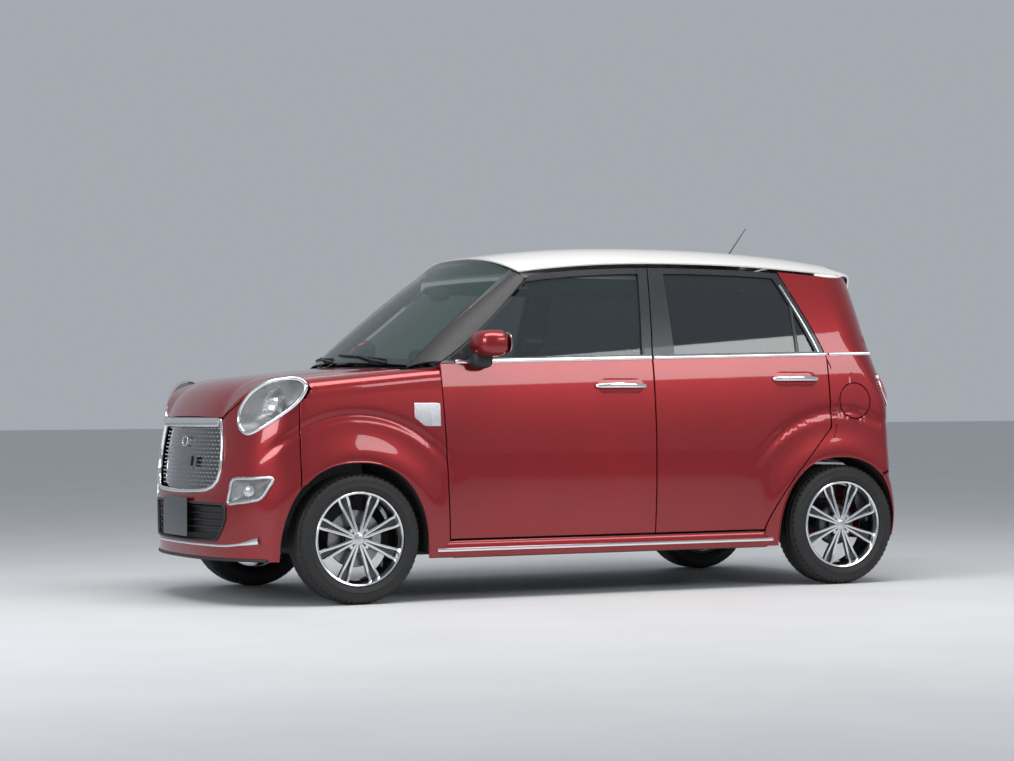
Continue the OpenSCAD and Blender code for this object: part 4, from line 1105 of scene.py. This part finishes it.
parts = [sweep([onNose(y, z, 14) for y in steps(-452 + 0.3*max(0, 340 - z), 452 - 0.3*max(0, 340 - z), 50)],
        [noseOut(y, z) for y in steps(-452, 452, 50)],
               roundOutline(14, 7, 8)) for z in (300, 330, 360, 390, 418)]
v, f, _ = joinData(*parts)
settle(addMesh("lower_grille_bars", v, f, blackTrim), "car_body", "black_trim")
panel("number_plate_blank_front", [[onNose(0, 370, -12) + np.array([-2*abs(y/165)**2, y, z - 370])
        for y in steps(-165, 165, 12)]
      for z in steps(285, 455, 8)], glossBlack, "car_body", "black_trim", thick=5, edge=3)
low = [(y, 254 + 0.00016*max(0, abs(y) - 420)**2*4) for y in steps(-622, 622, 110)]
trim("bumper_chrome_strip", [onNose(y, z, -1) for y, z in low], [noseOut(y, z) for y, z in low],
        roundOutline(13, 15, 12),
     chrome, "car_body", "rim_alloy", scale=[0.75 + 1.5*sat((abs(y) - 540)/80) for y, z in low])
low = [(y, 196) for y in steps(-640, 640, 100)]
trim("bumper_lip", [onNose(y, z, 6) for y, z in low], [noseOut(y, z) for y, z in low], roundOutline(26, 16, 12),
        blackTrim,
     "car_body", "black_trim")
# emblem, a plain oval ring, and the small square sensor cover below it
ring = [(34*math.cos(a), 700 + 22*math.sin(a)) for a in steps(0, 2*pi, 40)[:-1]]
trim("plain_emblem", [onNose(y, z, 8) for y, z in ring], (1, 0, 0), roundOutline(7, 7, 10), chrome, "car_body",
        "rim_alloy",
     closed=True)
panel("sensor_cover", [[onNose(y, z, 6) for y in steps(108, 150, 6)] for z in steps(592, 634, 6)], glossBlack,
        "car_body",
      "black_trim", thick=12, edge=2)
print("grilles made")


def dome(loop, at, out, bulge, rings=10, lift=0.0, inner=0.0, power=2.0):     # rings of a loop closing on its middle
    at, out = np.array(at, float), unit(out)
    loop = [np.array(p, float) for p in loop]
    m, verts, faces = len(loop), [], []
    mid = sum(loop)/m
    for k in range(rings):
        t = 1 - (1 - inner)*k/rings
        for p in loop: verts.append(mid + (p - mid)*t + out*(bulge*(1 - t**power) + lift))
    verts.append(mid + out*(bulge + lift))
    for k in range(rings - 1):
        for j in range(m):
            a, b = k*m + j, k*m + (j + 1) % m
            faces.append((a, b, b + m, a + m))
    c = len(verts) - 1
    for j in range(m): faces.append(((rings - 1)*m + j, (rings - 1)*m + (j + 1) % m, c))
    return verts, faces


def lampSet(name, loop, out, ringMat, ring, depth, lens, lensMat, slot, nodes=(), unitR=0, body="car_body"):
    loop = [np.array(p, float) for p in loop]
    mid = sum(loop)/len(loop)
    out = unit(out)
    make = [("frame", sweep([p + out*4 for p in loop], [unit(p - mid + out*40) for p in loop],
            roundOutline(ring, ring, 12), closed=True), ringMat, "rim_alloy"),
            ("bowl", dome(loop, mid, -out, depth, 10, 0, 0, 3.5), brakeSteel if unitR else glossBlack, "lamp_clear"),
            ("lens", dome(loop, mid, out, lens, 10, 3), lensMat, slot)]
    if unitR:
        e1 = unit(np.cross(out, (0, 0, 1))); e2 = np.cross(out, e1)
        for k, (r, z0, z1, mat) in enumerate(((unitR, -depth*0.7, -6, chrome), (unitR*0.8, -9, 4, lampLens))):
            prof = [(0, z1 + r*0.28), (r*0.5, z1 + r*0.22), (r*0.85, z1 + r*0.08), (r, z1), (r, z0), (0, z0)]
            vv, ff = lathe(prof, 40)
            vv = [mid + e1*x + e2*z + out*y for x, y, z in vv]
            make.append(("unit%d" % k, (vv, ff), mat, "lamp_clear"))
    for i, (part, (v, f), mat, sl) in enumerate(make):
        for side, data in (("left", (v, f)), ("right", mirrorData(v, f))):
            ns = list(nodes) if i == 2 and side == "left" else []
            settle(addMesh(f"{name}_{part}_{side}", *data, mat, sharp=50), body, sl, *ns)


lampSet("headlamp", lampLoop, lampOut, chrome, 17, 60, 26, lampLens, "lamp_clear", ["front_lamps"], unitR=44)
lampSet("fog_lamp", fogLoop, fogOut, satinSilver, 15, 26, 3, lampLens, "lamp_clear", unitR=24)
tailLoop = [np.array(tailAt(math.radians(66.5 + 9.5*math.cos(a)), 915 + 75*math.sin(a)))
        for a in steps(0, 2*pi, 48)[:-1]]
tailOut = unit(tailLoop[12] - np.array([-1500, 600, 915.0]) + np.array([0, 0, -75.0]))
lampSet("tail_lamp", tailLoop, tailOut, chrome, 11, 20, 16, redLens, "lamp_red", ["tail_lamps"], unitR=24)


# glass, pillars and door frames
panel("windshield_glass", [[screenPt(u, y) for y in steps(-590, 590, 40)]
        for u in reversed(steps(0, 0.987, 24))][::-1], screenGlass,
      "car_body", "glass", thick=5, edge=1, nodes=["windshield"])
for nm, lo, hi in (("base", 0.0, 0.05), ("top", 0.955, 0.987)):
    panel("screen_border_" + nm, [[np.array(screenPt(u, y)) + np.array([1.2, 0, 1.6]) for y in steps(-590, 590, 40)]
            for u in steps(lo, hi, 4)],
          pillarBlack, "car_body", "black_trim", thick=1, edge=0)


def pillarGrid():
    rows = []
    for u in steps(0, 1, 26):
        a = np.array(screenPt(mix(-0.02, 0.987, u), 588)) + np.array([1, 2, 2.5])
        h = mix(1060, 1440, u)
        x = doorF(h) + 7
        z = rowZ(h, x)
        b = np.array([x, bodyY(x, z) + 1, z])
        rows.append([mix(a, b, k) + np.array([4, 9, 8])*4*k*(1 - k) for k in steps(0, 1, 8)])
    return rows


pairPanel("screen_pillar", [r[::-1] for r in pillarGrid()], blackTrim, "car_body", "black_trim", thick=5, edge=2)
frameRows = steps(1050, 1458, 46)


def upperGrid(x0, x1, inset=0):
    return [[(lambda x: (x, bodyY(x, rowZ(z, x)) - inset, rowZ(z, x)))(mix(x0(z), x1(z), s))
            for s in steps(0, 1, 90)] for z in frameRows]


def cornerAt(xOf, zOf):
    z = 1250
    for _ in range(40): z = zOf(xOf(z))
    return z


def windowCut(back, front):       # the opening between two upright edges, the belt and the roof edge
    low, high = (lambda x: belt(x) + 12), (lambda x: edgeZ(x) - 46)
    z = [cornerAt(f, g) for f, g in ((back, low), (back, high), (front, high), (front, low))]
    loop = [(back(h), h) for h in steps(z[0], z[1], 24)[:-1]] + [(x, high(x))
            for x in steps(back(z[1]), front(z[2]), 40)[:-1]]
    loop += [(front(h), h) for h in steps(z[2], z[3], 24)[:-1]] + [(x, low(x))
            for x in steps(front(z[3]), back(z[0]), 40)[:-1]]
    return makeCut(((back(1200) + front(1200))/2, 700, 1200), (0, 1, 0), (1, 0, 0),
            [np.array([x, 700, h]) for x, h in loop], 250)


frontWindow = windowCut(lambda z: split(z) + g2 + 52, lambda z: doorF(max(1060, z)) - 36)
rearWindow = windowCut(lambda z: doorR(z) + 42, lambda z: split(z) - g2 - mix(112, 76, sat((z - 1080)/350)))
for side, flip in (("left", False), ("right", True)):
    cutPanel("front_door_frame_" + side, upperGrid(lambda z: split(z) + g2, doorF), [frontWindow], pillarBlack,
            "door_front_" + side,
             "black_trim", thick=22, edge=1.5, mirror=flip)
    cutPanel("rear_door_frame_" + side, upperGrid(lambda z: doorR(z) + car["gap"], lambda z: split(z) - g2),
            [rearWindow], pillarBlack,
             "door_rear_" + side, "black_trim", thick=22, edge=1.5, mirror=flip)
trim("rear_window_divider", [(-1120, bodyY(-1120, z) - 6, z) for z in steps(belt(-1120) + 6, edgeZ(-1120) - 40, 20)],
        (0, 1, 0),
     roundOutline(10, 17, 8), pillarBlack, "door_rear_{side}", "black_trim", both=True)
pairPanel("front_door_window", upperGrid(lambda z: split(z) + 20, lambda z: doorF(z) - 20, 9), doorGlassTint,
        "door_front_{side}",
          "glass", thick=4, edge=1, nodes=["front_door_glass_{side}"])
pairPanel("rear_door_window", upperGrid(lambda z: doorR(z) + 24, lambda z: split(z) - 20, 9), rearGlassTint,
        "door_rear_{side}",
          "dark_glass", thick=4, edge=1, nodes=["rear_door_glass_{side}"])
for nm, x0, x1, body in (("front_door", 655, -329, "door_front_{side}"),
        ("rear_door", -342, -1272, "door_rear_{side}"),
                         ("quarter", -1290, -1520, "car_body")):
    path = [(x, bodyY(x, belt(x) - 3) + 1, belt(x) - 2) for x in steps(x0, x1, 40)]
    trim(nm + "_waist_strip", path, (0, 1, 0), roundOutline(8, 15, 10), chrome, body, "rim_alloy", both=True)
arc = [(x, bodyY(x, z) + 1, z) for x, z in [(doorR(h) + 34, rowZ(h, doorR(h))) for h in steps(1068, 1400, 24)]]
trim("rear_window_arc", arc, (0, 1, 0), roundOutline(7, 10, 10), chrome, "door_rear_{side}", "rim_alloy", both=True)
for nm, r0, r1, body in (("front", lambda z: split(z) + g2 + 14, lambda z: doorF(z) - 14, "door_front_{side}"),
                         ("rear", lambda z: doorR(z) + 20, lambda z: split(z) - 14, "door_rear_{side}")):
    g = [[(lambda x: (x, bodyY(x, z) - 52 - 9*math.sin(pi*sat((z - 560)/300)), z))(mix(r0(z), r1(z), s))
            for s in steps(0, 1, 30)] for z in steps(285, 1040, 30)]
    pairPanel(nm + "_door_trim", [list(reversed(r)) for r in g], cabinPlastic, body, "cabin_plastic", thick=12,
            edge=2)
for nm, x0, x1, z, body in (("front", -32, -289, 935, "door_front_{side}"),
        ("rear", -969, -1214, 966, "door_rear_{side}")):
    cup = []
    for a in steps(0, 2*pi, 48)[:-1]:
        x, zz = (x0 + x1)/2 + 118*sgn(math.cos(a))*abs(math.cos(a))**0.8, z + 46*math.sin(a)*(1 + 0.25*math.cos(2*a))
        cup.append(np.array([x, bodyY(x, zz) + 1.2, zz]))
    body3 = [dome(cup, cup[0], (0, 1, 0), 2.4, 8, 0, 0, 6)]
    path = [(mix(x0, x1, t), bodyY(mix(x0, x1, t), z) + 6 + 26*math.sin(pi*t)**0.45, z + 3*math.sin(pi*t))
            for t in steps(0, 1, 36)]
    trim(nm + "_door_handle", path, (0, 1, 0), roundOutline(13, 24, 14), chrome, body, "rim_alloy", both=True,
         scale=[0.55 + 0.45*math.sin(pi*t)**0.5 for t in steps(0, 1, 36)])
    for side, data in (("left", body3[0]), ("right", mirrorData(*body3[0]))):
        settle(addMesh(f"{nm}_handle_cup_{side}", *data, bodyPaint), body.format(side=side), "body_paint")
print("glass and doors made")


# mirrors: a rounded cap, its dark foot and the glass at the back
def blob(at, size, k=2.6, n=40, m=28, shape=None):
    verts, faces = [], []
    for i in range(m + 1):
        b = mix(-pi/2, pi/2, i/m)
        for j in range(n):
            a = 2*pi*j/n
            p = [sgn(math.cos(b)*math.cos(a))*abs(math.cos(b))**(2/k)*abs(math.cos(a))**(2/k),
                 sgn(math.sin(a))*abs(math.cos(b))**(2/k)*abs(math.sin(a))**(2/k),
                 sgn(math.sin(b))*abs(math.sin(b))**(2/k)]
            if shape: p = shape(p)
            verts.append([at[c] + size[c]*p[c] for c in range(3)])
    for i in range(m):
        for j in range(n):
            faces.append((i*n + j, i*n + (j + 1) % n, (i + 1)*n + (j + 1) % n, (i + 1)*n + j))
    return verts, faces


mirrorBits = [("cap", blob((512, 765, 1123), (92, 100, 60), 2.8,
        shape=lambda p: (p[0]*(1 if p[0] > 0 else 0.55), p[1], p[2])), bodyPaint, "body_paint"),
              ("foot", blob((545, 700, 1052), (50, 62, 40), 3.2), blackTrim, "black_trim"),
              ("glass", blob((458, 768, 1122), (4, 84, 48), 3.0), chrome, "rim_alloy")]
for nm, data, mat, sl in mirrorBits:
    for side, d in (("left", data), ("right", mirrorData(*data))):
        settle(addMesh(f"mirror_{nm}_{side}", *d, mat), f"door_front_{side}", sl,
                *([f"door_mirror_{side}"] if nm == "cap" else []))
garnish = [[(x, sideY(x, z) + 2.5, z) for x in steps(738 + (0 if z > 800 else 0),
        mix(862, 812, sat((800 - z)/40)) if z < 800 else 862, 12)]
           for z in steps(762, 862, 14)]
pairPanel("fender_garnish", [r for r in garnish], satinSilver, "car_body", "rim_alloy", thick=4, edge=2)
def rearEdge(x, z):     # the arch edge where it runs onto the bumper corner
    if x > archRX or z >= 502: return wrapPt(x, z)
    return bumperAt(bumperEnd(x, z), z)


for nm, cx, r in (("front", archFX, car["archRF"]), ("rear", archRX, car["archRR"])):
    angles = steps(0.05, 2.3 if nm == "front" else pi - 0.05, 70)
    edge = [archPt(cx, r + 1, a) for a in angles]
    edge = [(x, sideY(x, z), z) if nm == "front" else rearEdge(x, z) for x, z in edge]
    trim(nm + "_arch_lip", [(x, y - 4, z - 2) for x, y, z in edge], (0, 1, 0), roundOutline(16, 8, 8), bodyPaint,
            "car_body",
         "body_paint", both=True)
    trim(nm + "_arch_seal", [(x, y - 34, z) for x, y, z in edge], (0, 1, 0), roundOutline(62, 5, 8), linerFelt,
            "car_body",
         "chassis_black", both=True)
lid = [[(fuel["at"][0] + fuel["radius"]*math.cos(a)*t, 0, fuel["at"][1] + fuel["radius"]*math.sin(a)*t)
        for a in steps(0, 2*pi, 60)[:-1]] for t in (1, 0.985, 0.9, 0.7, 0.45, 0.2, 0.01)]
lidV = [(x, bodyY(x, z) - (3 if k == 0 else 0), z) for k, r in enumerate(lid) for x, _, z in r]
n1 = len(lid[0])
lidF = [(k*n1 + j, k*n1 + (j + 1) % n1, (k + 1)*n1 + (j + 1) % n1, (k + 1)*n1 + j) for k in range(6)
        for j in range(n1)]
back = [(x, y - 5, z) for x, y, z in lidV]
lidF2 = [tuple(i + len(lidV) for i in reversed(f)) for f in lidF] + [(j, j + len(lidV), (j + 1) % n1 + len(lidV),
        (j + 1) % n1) for j in range(n1)]
settle(addMesh("fuel_lid_skin", lidV + back, lidF + lidF2, bodyPaint), "fuel_flap", "body_paint", "fuel_lid")
print("trims made")


# wheels: built at the origin with +Y outwards, then set on each hub
wheel = {"spokes": 8, "lugs": 4, "blocks": 64}


def atWheel(data, cx, side):
    v, f = data
    s = 1 if side == "left" else -1
    return [(cx + s*x, s*(car["wheelY"] + y), car["tyreR"] + z) for x, y, z in v], f


def ringLathe(profile, n=96): return lathe(profile + profile[:1], n)
def box(x0, x1, y0, y1, z0, z1, drop1=0.0):
    v = [(x, y, z - (drop1 if y == y1 and z == z1 else 0)) for x in (x0, x1) for y in (y0, y1) for z in (z0, z1)]
    return v, [(0, 1, 3, 2), (4, 6, 7, 5), (0, 4, 5, 1), (2, 3, 7, 6), (0, 2, 6, 4), (1, 5, 7, 3)]


arm = closedCurve([(-5, 32, 0), (-9, 80, 0), (-14, 130, 0), (-20, 176, 0), (-14, 195, 0), (14, 195, 0), (20, 176, 0),
        (14, 130, 0), (9, 80, 0), (5, 32, 0)], 54)
spokeLoop = [np.array([x, mix(50, 44, sat((r - 44)/140)) + 6*sat((r - 150)/40), r]) for x, r, _ in arm]
turn8 = pi/wheel["spokes"]
def spin(data, a):
    c, s = math.cos(a), math.sin(a)
    return [(x*c + z*s, y, -x*s + z*c) for x, y, z in data[0]], data[1]


spokeData = turned("spokes", *spin(sweep(spokeLoop, (0, 1, 0), roundOutline(20, 13, 10, 4.5), closed=True), turn8),
        wheel["spokes"], machinedAlloy)
pocketData = turned("pockets", *spin(dome([p - np.array([0, 7, 0]) for p in spokeLoop], (0, 40, 110), (0, 1, 0), 0.5,
        4), turn8), wheel["spokes"], glossBlack)
hexa = [(8.5*math.cos(a), 0, 50 + 8.5*math.sin(a)) for a in steps(0, 2*pi, 6)[:-1]]
nut = joinData(([(x, y, z) for x, _, z in hexa for y in (40, 60)],
        [(2*i, 2*i + 1, (2*i + 3) % 12, (2*i + 2) % 12) for i in range(6)] + [tuple(range(1, 12, 2))]))
nutData = turned("lug_nuts", *spin(nut[:2], pi/4), wheel["lugs"], chrome)
wellData = turned("lug_wells", *spin(dome([np.array([13*math.cos(a), 55.2, 50 + 13*math.sin(a)])
        for a in steps(0, 2*pi, 24)[:-1]], (0, 55, 50), (0, 1, 0), 0.4, 3), pi/4),
                  wheel["lugs"], glossBlack)
block = joinData(box(-7, 7, 57, 74, 266, 280.4, 8.0), box(-7, 7, -57, -74, 266, 280.4, 8.0),
        box(-6, 6, 8, 22, 268, 280.8), box(-6, 6, -22, -8, 268, 280.8))
blockData = turned("tread_blocks", block[0], block[1], wheel["blocks"], tyreRubber)
half = [(281, 4), (281, 24), (275, 26), (275, 32), (281, 34), (280.8, 52), (274, 58), (273, 66), (268, 75),
        (262, 78.5), (257, 79.8), (255.5, 81.2), (253, 81),
        (244, 82.2), (231, 82.6), (228.5, 84), (226, 82.4), (214, 79), (208, 75), (204.6, 66.5), (198.4, 59)]
tyreData = ringLathe([(275, 3)] + half + [(r, -y) for r, y in reversed(half)] + [(275, -3)], 128)
rimData = ringLathe([(186, -60), (190, -70), (204, -73), (204, -66), (198, -60), (198, 60), (203.5, 66), (204.5, 72),
        (200, 74), (193, 70), (188, 58), (184, 40), (180, 20), (184, 0)], 112)
lipData = ringLathe([(204.8, 72.5), (201, 75.5), (194, 73), (188.5, 60), (186, 50), (188, 48), (192, 58), (196, 68),
        (200, 71)], 112)
hubData = ringLathe([(26, 40), (66, 38), (67, 46), (62, 54), (48, 55), (30, 56), (26, 56)], 64)
capData = lathe([(0.01, 64), (14, 63.4), (24, 60.5), (29, 55), (30, 48), (30, 42), (27, 42), (26, 54), (0.01, 58)],
        56)
discData = ringLathe([(58, -4), (122, -4), (124, -2), (124, 6), (122, 8), (58, 8)], 88)
drumData = lathe([(0.01, 26), (62, 26), (88, 22), (97, 12), (98, -10), (0.01, -10)], 72)
for nm, cx in (("front", car["axleF"]), ("rear", car["axleR"])):
    for side in ("left", "right"):
        body = f"wheel_{nm}_{side}"
        tag = f"{nm}_{side}"
        brake = (("disc", discData, brakeSteel, "cast_metal"),
                ) if nm == "front" else (("drum", drumData, castMetal, "cast_metal"),)
        for part, data, mat, sl, node, sharp in (("tyre", tyreData, tyreRubber, "tyre_rubber", f"{nm}_tyre_{side}",
                28), ("tread", blockData, tyreRubber, "tyre_rubber", None, 30),
                ("rim", rimData, glossBlack, "rim_alloy", f"{nm}_rim_{side}", 40),
                ("lip", lipData, machinedAlloy, "rim_alloy", None, 40),
                ("spokes", spokeData, machinedAlloy, "rim_alloy", None, 40),
                ("pockets", pocketData, glossBlack, "black_trim", None, 40),
                ("hub", hubData, glossBlack, "rim_alloy", None, 40),
                ("cap", capData, satinSilver, "rim_alloy", None, 40),
                ("nuts", nutData, chrome, "rim_alloy", None, 30),
                ("wells", wellData, glossBlack, "black_trim", None, 30)) + tuple(b + (None, 40) for b in brake):
            settle(addMesh(f"{tag}_{part}", *atWheel(data, cx, side), mat, sharp=sharp), body, sl,
                    *([node] if node else []))
print("wheels made")


# cabin: seats, dashboard, steering wheel
seat = {"width": 232, "y": 305}
def leanBack(k): return lambda p: (p[0] - k*p[2], p[1], p[2])
def crown(p): return (p[0], p[1], p[2]*(1 - 0.16*abs(p[1])**3) if p[2] > 0 else p[2]*0.8)


seatBits = []
for side, s in (("left", 1), ("right", -1)):
    y = s*seat["y"]
    seatBits += [(f"front_cushion_{side}", blob((85, y, 462), (262, seat["width"], 82), 3.6, shape=crown)),
                 (f"front_backrest_{side}", blob((-222, y, 735), (66, seat["width"] - 8, 270), 3.4,
                 shape=leanBack(1.05))),
                 (f"front_headrest_{side}", blob((-318, y, 1065), (46, 122, 74), 3.0)),
                 (f"rear_headrest_{side}", blob((-1062, s*235, 1035), (44, 118, 66), 3.0))]
seatBits += [("rear_cushion", blob((-690, 0, 472), (258, 478, 80), 4.2, shape=crown)),
             ("rear_backrest", blob((-965, 0, 735), (64, 478, 262), 4.2, shape=leanBack(0.95)))]
for i, (nm, data) in enumerate(seatBits):
    o = settle(addMesh(nm, *data, seatCloth, sharp=60), "car_body", "seat_fabric", *(["seats"] if i == 0 else []))
for side, s in (("left", 1), ("right", -1)):
    y = s*seat["y"]
    seams = []
    for off in (-0.52, 0.52):
        seams.append(sweep([(85 + 250*t, y + off*seat["width"], 462 + 79*oval(t, 3.4)*(1 - 0.05))
                for t in steps(-0.86, 0.93, 24)], (0, 0, 1), roundOutline(5, 5, 8)))
        seams.append(sweep([(-222 - 0.257*dz + 64*oval(dz/272, 3.2), y + off*(seat["width"] - 8), 735 + dz)
                for dz in steps(-215, 235, 24)], (1, 0, 0), roundOutline(5, 5, 8)))
    v, f, _ = joinData(*seams)
    settle(addMesh(f"seat_seams_{side}", v, f, seatCloth), "car_body", "seat_fabric")
    posts = joinData(*[sweep([(-300, y + d, 985), (-316, y + d, 1040)], (0, 1, 0), roundOutline(11, 11, 10, 2))
            for d in (-45, 45)])
    settle(addMesh(f"headrest_posts_{side}", posts[0], posts[1], chrome), "car_body", "rim_alloy")


def dashGrid():
    prof = [(752, 985), (735, 1004), (680, 1012), (600, 1009), (520, 1000), (468, 984), (440, 958), (432, 925),
            (440, 880), (452, 840), (480, 800), (548, 742), (590, 690), (612, 642)]
    out = []
    for y in steps(-585, 585, 60):
        hood = math.exp(-((y + 320)/135)**4)
        out.append([(x - (22*hood if 910 < z < 1000 and x < 560 else 0), y,
                z + (30*hood*sat((620 - x)/120) if z > 905 else 0)) for x, z in prof])
    return out


panel("dashboard_top", [r for r in dashGrid()], cabinPlastic, "car_body", "cabin_plastic", thick=5, edge=2,
        nodes=["dashboard"], sharp=50)
for nm, at, size, mat, sl in (("centre_display", (438, 0, 905), (10, 96, 52), glossBlack, "black_trim"),
        ("centre_stack", (448, 0, 800), (30, 92, 62), cabinPlastic, "cabin_plastic"),
                              ("vent_left", (436, 500, 940), (12, 42, 34), satinSilver, "rim_alloy"),
                              ("vent_right", (436, -520, 940), (12, 36, 34), satinSilver, "rim_alloy"),
                              ("instrument_face", (424, -320, 968), (10, 120, 40), glossBlack, "black_trim"),
                              ("inside_mirror", (420, 0, 1368), (12, 105, 30), cabinPlastic, "cabin_plastic")):
    settle(addMesh(nm, *blob(at, size, 3.4, 28, 16), mat), "car_body", sl)
axis, e1 = np.array([-0.9135, 0, 0.4067]), np.array([0, 1.0, 0])
e2 = np.cross(axis, e1)
def onColumn(data, out=0): return [tuple(np.array([330, -320, 950.0]) + e1*x + e2*z + axis*(y + out)) for x, y,
        z in data[0]], data[1]


gripData = ringLathe([(172 + 14*math.cos(a), 14*math.sin(a)) for a in steps(0, 2*pi, 18)[:-1]], 84)
hubBlob = blob((0, 4, 0), (62, 16, 52), 3.0, 32, 18)
spokesSW = [sweep([(50*math.cos(a), 0, 50*math.sin(a)), (110*math.cos(a), -5, 110*math.sin(a)),
        (168*math.cos(a), 0, 168*math.sin(a))], (0, 1, 0), roundOutline(12, 30, 12, 3)) for a in (0, pi, -pi/2)]
shaft = lathe([(0.01, -5), (14, -5), (14, -168), (0.01, -168)], 32)
v, f, _ = joinData(gripData, hubBlob, *spokesSW, shaft)
settle(addMesh("steering_wheel_rim", *onColumn((v, f)), cabinPlastic), "steering", "cabin_plastic", "steering_wheel")

# antenna, wipers, rear details
tip = np.array([-1147.5 - 103, 0, roofH(-1147.5, 0) + 14 + 136])
foot = np.array([-1147.5, 0, roofH(-1147.5, 0) + 14])
v, f, _ = joinData(blob((-1147.5, 0, roofH(-1147.5, 0) + 10), (27, 20, 14), 2.2, 28, 14),
        sweep([mix(foot, tip, t) for t in steps(0, 1, 18)], (0, 1, 0), roundOutline(7, 7, 12, 2),
        scale=[1 - 0.45*t for t in steps(0, 1, 18)]))
settle(addMesh("antenna_rod", v, f, blackTrim), "car_body", "black_trim", "antenna")
lift = np.array([4, 0, 9])
for nm, y0, y1 in (("driver", -40, -520), ("passenger", 440, -10)):
    blade = [np.array(screenPt(0.025 + 0.03*t, mix(y0, y1, t))) + lift for t in steps(0, 1, 24)]
    armPath = [np.array(screenPt(0.0, mix(y0, y1, -0.04))) + lift,
            np.array(screenPt(0.012, mix(y0, y1, 0.25))) + lift*1.7,
            np.array(screenPt(0.042, mix(y0, y1, 0.5))) + lift*1.5]
    v, f, _ = joinData(sweep(blade, (0.4, 0, 1), roundOutline(9, 7, 8)),
            sweep(armPath, (0.4, 0, 1), roundOutline(7, 12, 8)))
    settle(addMesh("wiper_" + nm, v, f, blackTrim), "car_body", "black_trim")
def onTail(y, z, d=0): return np.array(tailPt(y/tailPt(1, z)[1], z, d))
panel("number_plate_blank_rear", [[onTail(y, z, -9) for y in steps(-165, 165, 12)] for z in steps(640, 800, 8)],
        glossBlack, "rear_hatch", "black_trim", thick=5, edge=3)
trim("tailgate_bar", [onTail(y, 828, -6) for y in steps(-260, 260, 40)], (-1, 0, 0), roundOutline(18, 26, 14), chrome,
        "rear_hatch", "rim_alloy",
     scale=[0.5 + 0.5*sat((260 - abs(y))/60) for y in steps(-260, 260, 40)])
panel("high_brake_lamp", [[onTail(y, z, -27) for y in steps(-120, 120, 12)] for z in steps(1408, 1428, 4)], redLens,
        "rear_hatch", "lamp_red", thick=4, edge=1)
loop = [tailPt(a, 1388, -1) for a in steps(-0.86, 0.86, 40)] + [tailPt(0.88, z, -1)
        for z in steps(1378, 1022, 24)] + [tailPt(a, 1012, -1)
        for a in steps(0.86, -0.86, 40)] + [tailPt(-0.88, z, -1) for z in steps(1022, 1378, 24)]
trim("rear_window_seal", loop, (-1, 0, 0), roundOutline(8, 18, 10), blackTrim, "rear_hatch", "black_trim",
        closed=True)
v, f, _ = joinData(sweep([tailPt(mix(0.02, 0.62, t), 1046 + 26*t, -14) for t in steps(0, 1, 20)], (-1, 0, 0),
        roundOutline(10, 8, 8)),
                   sweep([tailPt(0.0, 1030, -8), tailPt(0.12, 1044, -20), tailPt(0.34, 1062, -18)], (-1, 0, 0),
                   roundOutline(8, 14, 8)), blob((tailPt(0, 1030)[0] - 4, 0, 1030), (12, 20, 16), 2.4, 20, 12))
settle(addMesh("rear_wiper", v, f, blackTrim), "rear_hatch", "black_trim")
print("cabin and small parts made")
